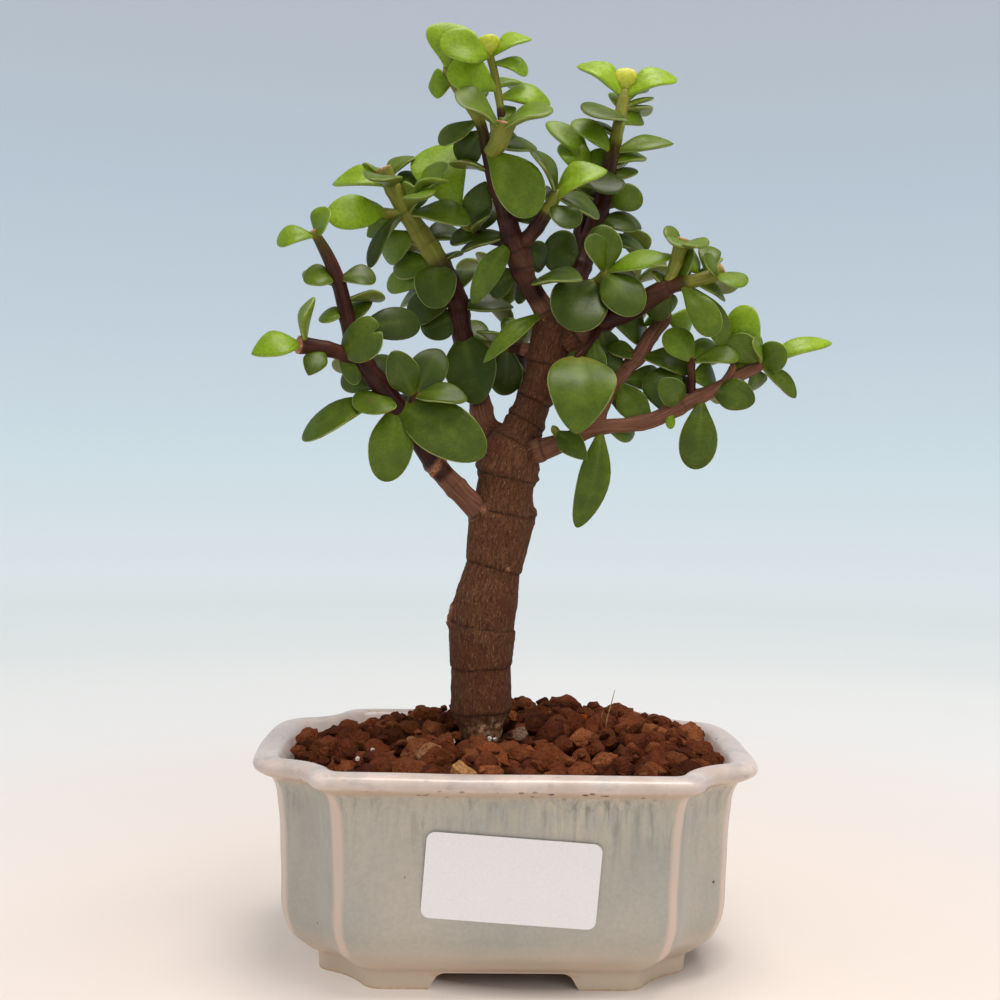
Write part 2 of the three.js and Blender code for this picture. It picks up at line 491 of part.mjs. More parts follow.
// One fat, spoon-shaped blade, thick in the middle. Its root is a point on the stem's own line.
function blade(root, tip, width, facing) {
  const reach = tip.clone().sub(root);
  const length = reach.length();
  const along = reach.normalize();
  const up = vec(facing).normalize();
  up.addScaledVector(along, -up.dot(along));
  if (up.length() < 0.25) up.set(0, -1, 0).addScaledVector(along, along.y);
  up.normalize();
  const side = up.clone().cross(along);
  const small = length < SMALL_LEAF;
  const profile = small ? [[0.4, 0.8], [0.8, 0.95]] : [[0.32, 0.66], [0.62, 1], [0.87, 0.78]];
  const edge = [[0, 0], ...profile, [1, 0], ...profile.slice().reverse().map(([t, w]) => [t, -w])];
  const spine = small ? [0.58] : [0.4, 0.74];
  const thick = (small ? 0.8 : 1) * CROWN_THICK;
  const spot = (t, across, lift) => root.clone().addScaledVector(along, t * length)
    .addScaledVector(side, (across * width) / 2)
    .addScaledVector(up, lift + ARCH * length * Math.sin(Math.PI * t));
  const count = edge.length;
  const points = edge.map(([t, w]) => spot(t, w, 0));
  for (const way of [1, -1]) points.push(...spine.map((t) => spot(t, 0, (way * thick) / 2)));
  const triangles = [];
  const nearer = (k) => (spine.length === 1 || edge[k][0] < 0.6 ? 0 : 1);
  for (let i = 0; i < count; i++) {
    const j = (i + 1) % count;
    // A face runs from the edge to the nearer point of the spine, alike above and below.
    const [a, b] = [count + nearer(i), count + nearer(j)];
    const below = spine.length;
    triangles.push([i, a, j], [i, j, a + below]);
    if (a !== b) triangles.push([a, b, j], [a + below, j, b + below]);
  }
  return solid(points, triangles);
}

// Leaves that the front of the crown hides grow from the back of a limb, each turned against the last.
// A limb that stands wholly behind the crown has them in opposite pairs.
const HIDDEN_TURNS = [-0.5, 0.9]; // radians round the limb from straight back, in turn
const TURN_SPREAD = 0.6;
const HIDDEN_REACH = [11, 15]; // length, shortest to longest
const HIDDEN_WIDTH = [8.5, 10.5];

function leavesBehind(limb, random) {
  const rows = [];
  const main = limb.stems.main;
  const paired = Object.values(limb.leaves).flat().length === 0;
  limb.behind.forEach((share, i) => {
    const { point, along } = pointAlong(main, share);
    const away = new THREE.Vector3(0, 1, 0.25);
    away.addScaledVector(along, -away.dot(along)).normalize();
    const across = along.clone().cross(away);
    const start = HIDDEN_TURNS[i % 2] + (random() - 0.5) * TURN_SPREAD;
    for (const turn of paired ? [start, start + Math.PI] : [start]) {
      const out = away.clone().multiplyScalar(Math.cos(turn)).addScaledVector(across, Math.sin(turn));
      const reach = mix(...HIDDEN_REACH, random());
      const tip = point.clone().addScaledVector(out, reach * 0.85).addScaledVector(along, reach * 0.35);
      const width = mix(...HIDDEN_WIDTH, random());
      rows.push([share, tip.x, tip.y, tip.z, width, [out.x * 0.3, out.y * 0.3, 1]]);
    }
  });
  return rows;
}

// What a limb is fused from: its stems, its leaves and the leaves behind.
function limbPieces(limb, random) {
  const pieces = Object.entries(limb.stems).map(
    ([name, path]) => stem(path, name === "main" ? LIMB_SIDES : TWIG_SIDES),
  );
  const rows = Object.entries(limb.leaves).flatMap(([name, list]) => list.map((row) => [name, row]));
  for (const row of leavesBehind(limb, random)) rows.push(["main", row]);
  for (const [name, [share, x, y, z, width, facing]] of rows) {
    const { point } = pointAlong(limb.stems[name], share);
    pieces.push(blade(point, vec([x, y, z]), width, facing));
  }
  return pieces;
}

// Fusing can seal a tiny pocket between leaves. Only the skin round it all is kept, so the pocket is filled.
function fused(pieces) {
  const body = pieces.reduce((sum, piece) => sum.add(piece));
  return body.decompose().sort((a, b) => b.volume() - a.volume())[0];
}

// The stub that each limb grows from widens a little towards the trunk's heart, and ends a hair before
// the limb's own flat end.
const HEART_SWELL = 1.15;
const COLLAR_SWELL = 1.08;

function stubFor(limb) {
  const [first, second] = limb.stems.main;
  const along = vec(second).sub(vec(first)).normalize();
  const end = vec(first).addScaledVector(along, -GAP);
  const radius = first[3];
  const collar = end.clone().addScaledVector(along, -radius);
  return stem([
    [...limb.heart, radius * HEART_SWELL],
    [...collar.toArray(), radius * COLLAR_SWELL],
    [...end.toArray(), radius],
  ], LIMB_SIDES);
}

function makeTrunk() {
  return Object.values(LIMBS).reduce((sum, limb) => sum.add(stubFor(limb)), stem(TRUNK, ROUND_SIDES));
}

// The soil

const SOIL_EDGE = 50.4; // height of the soil where it meets the pot
const SOIL_HEAP = 7; // how much higher it stands in the middle
const HEAP_CENTRE = [8, 16];
const HEAP_REACH = [50, 46]; // how far from its centre the heap has run out, sideways and to the back
const HEAP_RINGS = [1, 0.66, 0.3]; // rings of its surface, as shares of the brim
const GRAIN_PITCH = 9.9;
const ROW_PITCH = GRAIN_PITCH * Math.sin(Math.PI / 3); // the rows stand staggered
const GRAIN_ROWS = 6; // on either side of the middle
const GRAIN_COLUMNS = 8;
const GRAIN_SIZE = [4.8, 6.6];
const GRAIN_JITTER = 2.6;
const GRAIN_SHEAR = 0.7;
const GRAIN_BOUNDS = { x: 51, y: 34.5, sum: 69 }; // where grains lie; the sum keeps them out of the notches
const HOLE_CLEARANCE = 0.4; // round the trunk in the soil
const BURIED_RINGS = 8; // of the trunk, which the hole follows

// Half width of the pot's inner wall at a height
function innerHalf(z) {
  const above = INNER.findLast(([level]) => level >= z);
  const below = INNER[INNER.indexOf(above) + 1];
  return mix(below[1], above[1], (z - below[0]) / (above[0] - below[0]));
}

// Height of the soil: a low heap, highest a little behind the trunk
function soilHeight(x, y) {
  const away = Math.min(1, Math.hypot(
    (x - HEAP_CENTRE[0]) / HEAP_REACH[0],
    (y - HEAP_CENTRE[1]) / HEAP_REACH[1],
  ));
  return SOIL_EDGE + SOIL_HEAP * Math.cos((away * Math.PI) / 2);
}

function makeSoil() {
  const random = randomFrom(SEED);
  const levels = INNER.slice(2).reverse();
  const mass = levels.map(([z, half]) => outline(half - GAP, z === FLOOR ? z + GAP : z));
  const brimHalf = innerHalf(SOIL_EDGE) - GAP;
  const brim = outline(brimHalf, SOIL_EDGE);
  const surface = HEAP_RINGS.map((share) => brim.map((p) => {
    const [x, y] = [p.x * share, p.y * share];
    return new THREE.Vector3(x, y, soilHeight(x, y) + GAP);
  }));
  const heap = loft([...mass, brim, ...surface]);
  const jitter = () => (random() - 0.5) * GRAIN_JITTER;
  const threeOf = (draw) => [draw(), draw(), draw()];
  const grains = [];
  for (let row = -GRAIN_ROWS; row <= GRAIN_ROWS; row++) {
    for (let column = -GRAIN_COLUMNS; column <= GRAIN_COLUMNS; column++) {
      const x = (column + (row % 2 ? 0.5 : 0)) * GRAIN_PITCH + jitter();
      const y = row * ROW_PITCH + jitter();
      const size = mix(...GRAIN_SIZE, random());
      const turns = threeOf(() => random() * Math.PI);
      const [long, flat] = [size * (1 + 0.3 * random()), size * (0.75 + 0.2 * random())];
      const shear = threeOf(() => (random() - 0.5) * GRAIN_SHEAR);
      const across = Math.abs(x);
      const deep = Math.abs(y);
      const outside = across > GRAIN_BOUNDS.x || deep > GRAIN_BOUNDS.y || across + deep > GRAIN_BOUNDS.sum;
      const inTrunk = Math.hypot(x - TRUNK[2][0], y - TRUNK[2][1]) < TRUNK[2][3];
      if (outside || inTrunk) continue;
      const place = new THREE.Matrix4().makeRotationFromEuler(new THREE.Euler(...turns));
      place.multiply(new THREE.Matrix4().makeShear(0, shear[0], shear[1], 0, 0, shear[2]));
      place.setPosition(x, y, soilHeight(x, y) + size * 0.05);
      grains.push(solidOf(new THREE.BoxGeometry(long, size, flat), place));
    }
  }
  // The grains stay inside the pot's wall, whose inner face leans outwards up to the lip.
  const within = loft([
    ...levels.slice(2).map(([z, half]) => outline(half - GAP, z)), brim, outline(brimHalf, POT_HEIGHT + 13),
  ]);
  const soil = heap.add(grains.reduce((sum, grain) => sum.add(grain)).intersect(within));
  const buried = TRUNK.slice(0, BURIED_RINGS).map(([x, y, z, r], i) => [x, y, i ? z : z - GAP, r]);
  const hole = stem(buried, ROUND_SIDES, HOLE_CLEARANCE);
  const netRecess = solidOf(
    new THREE.BoxGeometry(2 * (NET_HALF + GAP), 2 * (NET_HALF + GAP), CUT_HEIGHT),
    new THREE.Matrix4().makeTranslation(0, 0, FLOOR + 2 * GAP + NET_THICK - CUT_HEIGHT / 2),
  );
  return soil.subtract(hole).subtract(netRecess);
}

// The group

const group = new THREE.Group();
group.position.x = BOX_SHIFT;

function add(name, body, colour, roughness) {
  const { vertProperties, triVerts } = body.getMesh();
  const geometry = new THREE.BufferGeometry();
  geometry.setAttribute("position", new THREE.BufferAttribute(new Float32Array(vertProperties), 3));
  geometry.setIndex(new THREE.BufferAttribute(new Uint32Array(triVerts), 1));
  geometry.computeVertexNormals();
  const material = new THREE.MeshStandardMaterial({ color: colour, roughness, metalness: 0 });
  const mesh = new THREE.Mesh(geometry, material);
  mesh.name = name;
  group.add(mesh);
}

add("pot", makePot(), COLOURS.glaze, 0.35);
add("pot_label", makeLabel(), COLOURS.sticker, 0.5);
add("drainage_net", makeNetting(), COLOURS.netting, 0.6);
add("soil", makeSoil(), COLOURS.granules, 0.95);
add("trunk", makeTrunk(), COLOURS.bark, 0.9);
const random = randomFrom(SEED + 1);
for (const [name, limb] of Object.entries(LIMBS)) {
  add(name, fused(limbPieces(limb, random)), COLOURS.leaf, 0.4);
}

export default group;
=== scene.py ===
import math

import bmesh
import bpy
import numpy as np
from mathutils import Matrix, Vector, noise


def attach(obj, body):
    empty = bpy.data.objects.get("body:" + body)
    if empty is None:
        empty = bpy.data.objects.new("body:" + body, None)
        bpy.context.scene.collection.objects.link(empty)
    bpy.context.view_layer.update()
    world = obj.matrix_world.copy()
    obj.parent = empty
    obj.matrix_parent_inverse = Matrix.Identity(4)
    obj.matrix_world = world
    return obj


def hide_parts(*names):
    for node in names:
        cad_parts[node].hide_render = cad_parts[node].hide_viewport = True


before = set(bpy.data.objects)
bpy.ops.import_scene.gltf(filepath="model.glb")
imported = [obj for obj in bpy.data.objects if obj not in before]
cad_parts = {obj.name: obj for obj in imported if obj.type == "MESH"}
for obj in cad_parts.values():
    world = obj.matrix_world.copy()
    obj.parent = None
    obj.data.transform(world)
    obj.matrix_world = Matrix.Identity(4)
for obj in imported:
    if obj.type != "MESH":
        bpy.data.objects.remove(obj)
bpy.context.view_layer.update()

# Sizes

MM = 0.001
POT_X = -9.6  # the middle of the pot, seen from the middle of the whole part
POT_DEPTH_STEP = 30.4  # how much less the pot measures from front to back than from side to side
FOOT_HEIGHT = 4.1
CORNER_NOTCH = 13
NOTCH_GROWTH = 0.2
SIDE_BOW = 0.11
FRONT_BOW = 0.4
RIDGE_ROUNDING = 3.4
LOBE_ROUNDING = 3
LOBE_GROWTH = 0.4
FOOT_HALF = 45.2
RIM_TOP = 53.7
# [half width, height] up the outside, over the lip and down the inside
WALL = [
    (45.2, 0), (46.2, 4.8), (47.2, 5.4), (49.4, 7.4), (51.7, 9.8), (53.2, 13.5), (54.2, 27), (54.9, 41),
    (55.7, 46.2), (56.9, 48.6), (59.2, 49.9), (60.5, 51.2), (60.4, 52.6), (58.2, RIM_TOP), (55.4, 53.3),
    (54.2, 51.6), (52.6, 48), (49.6, 40), (46.5, 14), (43, 9.6),
]
DRAIN_RADIUS = 7
FOOT_WIDTH = 9.5
CHANNEL_ACROSS = 15.5  # half the gap between the two front feet
CHANNEL_ALONG = 8.5  # half the gap between a front foot and the one behind it
LABEL = {"width": 40.4, "height": 20.2, "thick": 0.22, "corner": 2, "x": 1.1, "z": 28.9, "turn": 3.9}
LABEL_OFF = 0.5  # from the wall to the middle of the sheet
LABEL_CURL = (0.35, 7)  # how far one corner lifts, and from how far away it starts to
SOIL_EDGE = 50.4
SOIL_HEAP = 7
HEAP_CENTRE = (8, 16)
HEAP_REACH = (50, 46)

# [x, y, z, radius]: a leaf scar is a close pair of points with a step in radius
TRUNK = [
    (-6.4, 0, 36, 5), (-6, 0, 44, 5.2), (-5.6, 0, 54, 5.2), (-5.9, 0, 58, 6), (-6.6, 0, 60.4, 7.4),
    (-6.6, 0, 61.4, 7.8), (-6.2, 0, 72, 7.3), (-6.1, 0, 73, 7.6), (-6.2, 0, 82.6, 8.3),
    (-6, 0, 83.8, 7.8), (-4.6, 0, 90, 8.0), (-3.5, 0, 97.6, 7.0), (-3.4, 0, 98.8, 7.3),
    (-2.5, 0, 105, 7.8), (-1.6, 0, 111, 8.4), (-1.4, 0, 112.2, 7.6), (-0.2, 0, 119.6, 7.1),
    (0, 0, 121, 7.7), (0.5, 0, 126, 7.9), (1.2, 0.2, 129.4, 6.6), (2.6, 0.6, 130.6, 5.2),
    (4, 1, 134.8, 5.1), (4.6, 1, 136, 4.5), (7.2, 1, 145, 4.1), (9.2, 1, 150.4, 4.5),
    (9.5, 1, 151.6, 5.0), (10.8, 1, 157.4, 5.4), (11.6, 1, 161.4, 5.2),
]
# Where the old leaf scars ring the trunk: height, and how much each ring tips down to the right and front
SCARS = [
    (60.9, -0.2, 0), (72.5, -0.3, 0.2), (83.2, 0.7, 0.3), (98, 0.6, -0.3), (112.4, 0.2, 0.2),
    (121.4, 0.4, 0.2), (129.6, 0.5, 0.2), (135.4, 0.5, -0.4), (141.4, 0.3, 0.3), (151, -0.5, 0.5),
]
# Knobs where shoots were cut off: height, way round (0 is right, -90 the front), how far they stand out,
# and how wide they are
KNOBS = [
    (85.6, 196, 0.9, 1.9), (113.2, 4, 1.2, 1.5), (98.6, -62, 0.5, 0.8), (112.4, -128, 0.9, 1.2),
    (83.2, -168, 0.8, 1.3), (121.5, 60, 1.2, 1.5), (73, 120, 0.9, 1.6), (130.4, -20, 0.5, 1.0),
]

# The limbs. Stems are [x, y, z, radius] and start where the limb leaves the trunk. Leaves are
# [share along the stem, tip x, y, z, width, the way the upper side faces, tone], and the tone runs from 0,
# deep green, over 1, lime, to 1.5, yellow. A limb leans away from the front by its lean, the more the
# further out, along the line of sight from EYE.
# Besides a leaf's own green, its tone holds painted shade on leaves that hang in shadow and painted sheen
# on some that catch the light.
EYE = (-10.3, -349.9, 121.7)
LEAN_REACH = 70
ROOT_SINK = 1.7
U = (0, 0, 1)
F = (0, -1, 0.15)
UF = (0, -1, 1)
L = (-1, -0.3, 0.2)
R = (1, -0.3, 0.2)
FL = (-0.8, -1, 0.3)
FR = (0.8, -1, 0.3)
LIMBS = {
    "limb_low_left": {
        "lean": -7,
        "heart": (-2, 0, 107.5),
        "young": {"main": 0.85, "stub": 1.3, "spur": 1.3},
        "cut": ["main", "stub"],
        "stems": {
            "main": [(-11.5, -5, 116.6, 2.8), (-18, -7, 123.6, 2.7), (-23.5, -9, 131.5, 2.6),
                (-30.5, -11, 141.5, 2.5), (-37, -12, 149.5, 2.5), (-40, -12, 157, 2),
                (-41.5, -12, 163, 1.9), (-43.5, -12, 170, 1.7), (-46.5, -12, 176.5, 1.5),
                (-49.5, -12, 181.5, 1)],
            "spur": [(-26.5, -10, 135.8, 1.5), (-24.6, -11.5, 139, 1.2), (-23.3, -12, 142.5, 1)],
            "stub": [(-37, -12, 149.5, 2.1), (-43, -14, 151.5, 1.9), (-52.1, -17.5, 152.8, 2.1)],
        },
        "leaves": {
            "main": [(0.72, -48, -10, 160, 7, UF, 0.55),
                (0.76, -32, -8, 165, 9, U, 0.35), (0.66, -23, -7, 160, 9, F, 0.15),
                (0.55, -42, -14, 147, 9, F, 0.4), (0.45, -42.5, -4, 147, 9, F, 0.35),
                (0.42, -51.5, -12, 129.7, 9.5, UF, 0.5), (0.42, -36.3, -18, 136.4, 12, UF, 0.45),
                (0.38, -30.8, -14, 119.7, 11, F, 0.5), (0.38, -6.5, -20, 126.4, 14, F, 0.33),
                (0.44, -32, -2, 147, 5, F, 0.25),
                (1, -58.2, -13, 177.7, 7.5, UF, 0.8), (1, -45.5, -14, 186.5, 8, FL, 0.7),
                (0.83, -51.8, -12, 169.7, 8, UF, 0.5), (0.83, -33.8, -12, 170, 8, UF, 0.35)],
            "spur": [(1, -29.4, -16, 151.7, 8.5, F, 0.35), (0.95, -17.6, -8, 153, 9.5, F, 0.25),
                (0.9, -10.9, -18, 140, 7.5, UF, 0.4)],
            "stub": [(0.3, -31.9, -20, 156.9, 10.5, F, 0.35), (1, -63, -20, 150, 9, UF, 0.9),
                (1, -48, -20, 164, 8, L, 0.65), (0.6, -49, -22, 145, 6, F, 0.4)],
        },
        "behind": [0.3, 0.52, 0.68, 0.8, 0.44],
    },
    "limb_centre_left": {
        "lean": 1,
        "heart": (2, 1, 128),
        "young": {"main": 0.5, "side": 0, "bud": 0},
        "cut": ["main"],
        "stems": {
            "main": [(-5.5, 4, 134, 3.1), (-8, 6, 142.5, 2.8), (-11.5, 8, 152, 2.7),
                (-12.5, 8, 160, 2.6), (-14, 8, 167.5, 2.8), (-18.5, 7, 176.5, 2.8),
                (-23.5, 6, 184, 2.6), (-28, 5, 190.5, 2.3), (-31.5, 4, 196.5, 2.1),
                (-33.5, 3, 200.5, 2.1)],
            "side": [(-28, 5, 189, 1.4), (-34, 3, 189, 1.3)],
            "bud": [(-28, 5, 190, 1.1), (-25.5, 3, 192, 0.9)],
        },
        "leaves": {
            "main": [(0.93, -35.5, -13, 194, 10.5, U, 0.5), (0.9, -24.5, 9, 200.5, 8, UF, 0.4),
                (0.96, -39, 9, 202, 7, U, 0.6), (0.96, -27, 9, 205, 8, U, 0.5),
                (0.93, -47, 8, 197, 8, UF, 0.85), (0.83, -36, -4, 173.8, 5.5, FL, 0.1),
                (0.75, -34, 14, 180, 9, F, 0.5), (0.83, -38, 10, 184, 8, F, 0.5),
                (0.82, -16.5, -4, 200, 10.5, UF, 0.55), (0.82, -11, -6, 185, 9, UF, 0.45),
                (0.72, -13, 13, 186, 9, UF, 0.2), (0.62, -19, -2, 164, 11, F, 0.3),
                (0.62, -31, 14, 177, 8, F, 0.5), (0.56, -33, 18, 172, 7, F, 0.6),
                (0.53, -29, 16, 167, 8, UF, 0.45), (0.48, -27, 10, 163, 9, F, 0.2),
                (0.43, -23, 8, 159, 9, F, 0.15), (0.45, 1, 9, 166, 9, UF, 0.2),
                (0.62, -13, 10, 180, 8, U, 0.2), (0.36, -8, 0, 140, 14, F, 0.2)],
            "side": [(0.94, -46.5, -7, 185, 10, F, 0.85), (0.83, -43, 12, 194, 8, U, 0.75)],
            "bud": [(0.67, -28, 2, 197, 6, U, 0.9), (0.74, -17, -9, 195, 6, U, 0.8),
                (0.55, -21, -10, 191, 8, UF, 0.75)],
        },
        "behind": [0.5, 0.66, 0.82],
    },
    "limb_leader": {
        "lean": -5,
        "heart": (11.2, 0.6, 158),
        "young": {"main": 0.62, "stub": -0.3, "tip": 0.1},
        "cut": ["stub"],
        "stems": {
            "main": [(8.8, -0.6, 163.8, 2.9), (6, -1.6, 168, 2.6), (3.5, -2, 172, 2.6),
                (2, -2, 177, 3.4), (0, -3, 181.5, 2.9), (-2, -4, 189, 2.3), (-5, -4, 196.5, 1.8),
                (-6.5, -5, 201.5, 1.4), (-8.5, -5, 210, 1.4), (-11, -5, 214.5, 1.5),
                (-14.5, -5, 218.5, 1.1), (-18, -5, 225, 0.8)],
            "stub": [(-6, -6, 202.5, 2), (-4, -8, 205, 2.5), (-3, -9, 210, 3.1)],
            "tip": [(-3, -7, 209.5, 1.1), (-4, -5, 216.5, 1), (-6, -4, 226, 1), (-7, -4, 229, 0.9)],
            "right": [(2, -3, 180, 1.9), (6, -6, 184.5, 1.9), (9.5, -8, 190, 1.6),
                (11.5, -9, 193.5, 1.3)],
            "left": [(0, -3, 181, 1.7), (-5.5, 1, 182.5, 1.5), (-10.5, 4, 184.5, 1.4),
                (-14, 5, 189.5, 1.2)],
        },
        "leaves": {
            "main": [(1, -16, -6, 235, 13, F, 0.9), (0.93, -22, -2, 220, 8, F, 0.75),
                (0.76, -19, -5, 205, 8, UF, 0.35), (0.72, -14, 0, 202, 8, F, 0.2),
                (0.68, 1, 3, 209, 7, F, 0.3), (0.66, 6, 5, 207, 7, UF, 0.35),
                (0.65, 5, -13, 186, 12.5, F, 0.5), (0.32, -13, 4, 180, 9, UF, 0.2),
                (0.3, -10, -6, 165, 6.5, F, 0.5), (0.18, -6, 4, 170, 8, F, 0.2),
                (0.12, 17, -15, 170, 10, UF, 0.4), (0.27, 9, 4, 177, 8, F, 0.15),
                (0.1, 1, 4, 169, 7, F, 0.15), (0, -7, -7, 150, 5.5, UF, 0.55)],
            "stub": [(1, -15, -16, 214, 12, UF, 0.55), (1, 9, -16, 211, 11, UF, 0.6),
                (1, -2, -1, 216, 5, F, 0.6)],
            "tip": [(0.96, -19, -12, 227.6, 9.5, F, 0.85), (0.98, 4, -6, 231.5, 8.5, UF, 0.95),
                (1, -7.5, -6, 232.4, 5.6, F, 1.22), (0.83, 3, -6, 222.5, 6.5, UF, 0.8),
                (0.48, -17, -8, 223, 10, F, 0.85), (0.38, 9, -4, 216, 8, UF, 0.8),
                (0.52, 1, 6, 222, 7, UF, 0.9)],
            "right": [(1, 23, -12, 197.6, 9.5, UF, 0.8), (1, 4, -10, 203, 8, R, 0.3),
                (0.74, 15, -14, 183, 8, UF, 0.3), (0.89, 22, -4, 188, 9, UF, 0.3),
                (0.86, 4, -4, 193, 7, UF, 0.2), (0.42, 2, 2, 189, 7, F, 0.2)],
            "left": [(0.95, -21.5, 13, 208.5, 14.5, F, 0.85), (0.73, -7, 0, 197, 8, F, 0.3),
                (0.63, -6, -4, 188, 7, UF, 0.2), (0.62, -5, 9, 194, 7, F, 0.2),
                (0.48, -16, 4, 182, 7, UF, 0.2)],
        },
        "behind": [0.4, 0.56, 0.82],
    },
    "limb_upright_right": {
        "lean": 14,
        "heart": (12.6, 2, 158),
        "young": {"main": 0.62, "twin": 0.3, "front": 0.3},
        "cut": [],
        "stems": {
            "main": [(14.2, 4.2, 163.8, 2.9), (16.5, 8, 171, 2.9), (19.5, 10, 180, 2.8),
                (22, 10, 188, 2.6), (24, 10, 194.5, 2.5), (25, 10, 200.5, 2.2),
                (26.5, 9, 207.5, 1.8), (28, 9, 215.5, 1.6), (29, 9, 222, 1.7),
                (29.5, 9, 224.5, 1.6)],
            "twin": [(18.5, 10, 178.5, 1.7), (18, 12, 186, 1.6), (20.5, 14, 196.5, 1.5),
                (21.5, 15, 209, 1.1)],
            "front": [(18, 8, 172, 1.8), (21.5, 1, 171.5, 1.5), (24, -6, 174, 1.1)],
        },
        "leaves": {
            "main": [(0.95, 16.5, 8, 229.3, 9.5, UF, 0.95), (0.95, 42.8, 8, 226.5, 8, UF, 0.95),
                (0.98, 29, 7, 228.8, 5.8, F, 1.3), (0.91, 36, 14, 225, 6, U, 0.8),
                (0.89, 37, 11, 222, 5, U, 0.7), (0.89, 26, 14, 224, 4, U, 0.7),
                (0.85, 18.5, -3, 213.8, 12.5, UF, 0.4),
                (0.83, 34, 15, 219, 8, F, 0.6), (0.71, 15, 6, 214, 9, UF, 0.7),
                (0.71, 42, 6, 209, 8, UF, 0.5), (0.67, 36, 14, 207, 7, UF, 0.75),
                (0.63, 23, 0, 194.5, 11, F, 0.12), (0.59, 33, 14, 204, 6, UF, 0.4),
                (0.55, 34, 6, 193, 8, F, 0.4), (0.47, 32, 12, 194, 5, U, 0.3),
                (0.43, 33, 8, 187, 8, UF, 0.3), (0.43, 35, 15, 189, 6, UF, 0.3),
                (0.35, 37, 14, 181, 7, UF, 0.3), (0.24, 8.5, 3, 182, 11.5, F, 0.2),
                (0.24, 16, 20, 178, 9, F, 0.2)],
            "twin": [(0.87, 9, 14, 216, 7.5, UF, 0.75), (0.75, 13, 17, 211, 8, F, 0.8),
                (0.8, 25, 14, 209, 6, F, 0.7), (0.51, 14, 18, 201, 8, F, 0.8),
                (0.51, 26, 20, 201, 7, F, 0.5)],
            "front": [(1, 22, -8, 185, 9, F, 0.4), (1, 18, -12, 181, 8, FR, 0.4),
                (1, 39, -14, 176, 9, UF, 0.75), (1, 31, -14, 162, 11, F, 0.35),
                (0.61, 13.8, -12.5, 158.3, 15, F, 0.25), (0.9, 32, 2, 173, 7, U, 0.3)],
        },
        "behind": [0.3, 0.5, 0.64, 0.78, 0.9],
    },
    "limb_right": {
        "lean": -3,
        "heart": (10.5, -1, 153),
        "young": {"main": 0.6, "twig": 0, "drop": 1.2},
        "cut": ["main", "twig"],
        "stems": {
            "main": [(20, -3.6, 159.7, 2.5), (30.5, -6, 164.5, 2.7), (36, -8, 168, 2.5),
                (40, -9, 170, 2), (44.5, -9, 171, 1.8), (48.5, -9, 172, 1.7),
                (52.8, -9, 173.9, 2)],
            "twig": [(38.5, -9, 169, 1.4), (40.5, -9, 174.5, 1.6), (41.6, -9, 178.5, 1.8),
                (42.5, -9, 181.7, 1.9)],
            "drop": [(22.5, -4.2, 160.6, 1.4), (20.5, -7.5, 156.5, 1.1), (15.5, -11, 150.5, 0.9)],
        },
        "leaves": {
            "main": [(0.6, 36, -4, 162, 7, F, 0.3), (0.54, 41, -2, 164, 6, F, 0.4),
                (0.6, 36, -6, 174, 7, U, 0.4), (0.69, 50, -16, 157, 7.5, F, 0.5),
                (0.73, 54.2, -8, 155, 6.5, F, 0.45), (0.78, 54.1, -6, 167, 6.5, UF, 0.45),
                (0.88, 50.5, -3, 181, 6, F, 0.5), (0.96, 47, -15, 176, 6, R, 0.5),
                (0.96, 56, -16, 169, 8, UF, 0.65), (0.91, 52, -2, 177, 7, FL, 0.6),
                (0.14, 35, 5, 160, 10, F, 0.3), (0.06, 25, 6, 152, 8, F, 0.2)],
            "twig": [(0.96, 37.6, -10, 184.2, 6.5, UF, 0.5), (0.55, 47.9, -3, 177, 7.5, F, 0.75),
                (0.93, 46.9, -16, 178.6, 8, UF, 0.6), (0.92, 39.3, -16, 179, 6.5, UF, 0.5),
                (0.62, 45, -4, 173, 9, F, 0.5), (0.62, 38, -1, 178, 7, U, 0.5)],
            "drop": [(0.96, 15.9, -20, 132.1, 17, F, 0.43), (0.3, 21.6, -9.5, 146.3, 5.5, F, 0.4)],
        },
        "behind": [0.35, 0.7, 0.9],
    },
    "limb_low_right": {
        "lean": 5,
        "heart": (1.5, -2, 126),
        "young": {"main": 1.05, "fork": 1.1, "rise": 0.8, "scar": 1.3, "bud": 0.3},
        "cut": [],
        "stems": {
            "main": [(12.5, -6, 130, 2.4), (15, -7, 131, 2.1), (20, -8, 133.5, 1.9),
                (24.5, -9, 134.5, 1.8), (30, -9, 135, 1.8), (35, -10, 136, 1.9),
                (40.5, -10, 138.5, 2), (44.5, -10, 141, 2), (50, -11, 143.5, 1.7),
                (53.5, -11, 145.5, 1.5), (57.5, -11, 148, 1.5), (61.5, -11, 150, 1.4),
                (63.5, -11, 151.5, 1.1)],
            "fork": [(21.5, -8, 134, 1.9), (23.5, -6, 140.5, 1.9), (26, -4, 144.5, 1.9),
                (29.5, -3, 149.5, 1.9), (32.5, -3, 152.5, 2), (35.5, -2, 157.5, 1.9),
                (39, -1, 162, 1.8), (41, 0, 164.5, 1.7)],
            "rise": [(45, -10, 141.5, 1.2), (45, -11, 146, 1.1), (45, -11, 150.5, 1),
                (45.5, -11, 152.5, 0.9)],
            "scar": [(52.5, -11, 145, 1.1), (54.5, -12, 148, 1), (55.5, -12, 150.5, 1)],
            "back": [(56.5, -11, 147.5, 0.9), (57, -7, 151.5, 0.8), (56, -4, 155.5, 0.7)],
            "bud": [(13.4, -6.3, 130.4, 1.2), (10.6, -8, 134.5, 1)],
        },
        "leaves": {
            "main": [(0.57, 37, -14, 146, 7, F, 0.35), (0.2, 17, -11, 109, 8.2, F, 0.4),
                (0.22, 32, -3, 133, 6, F, 0.4), (0.52, 39.8, -12, 134, 2.5, F, 0.8),
                (0.67, 46, -12, 124, 9.6, F, 0.4), (0.72, 60, -16, 141, 8.5, F, 0.35),
                (0.72, 53, -3, 141, 6, U, 0.5), (1, 70.8, -13, 142.2, 5, UF, 0.5),
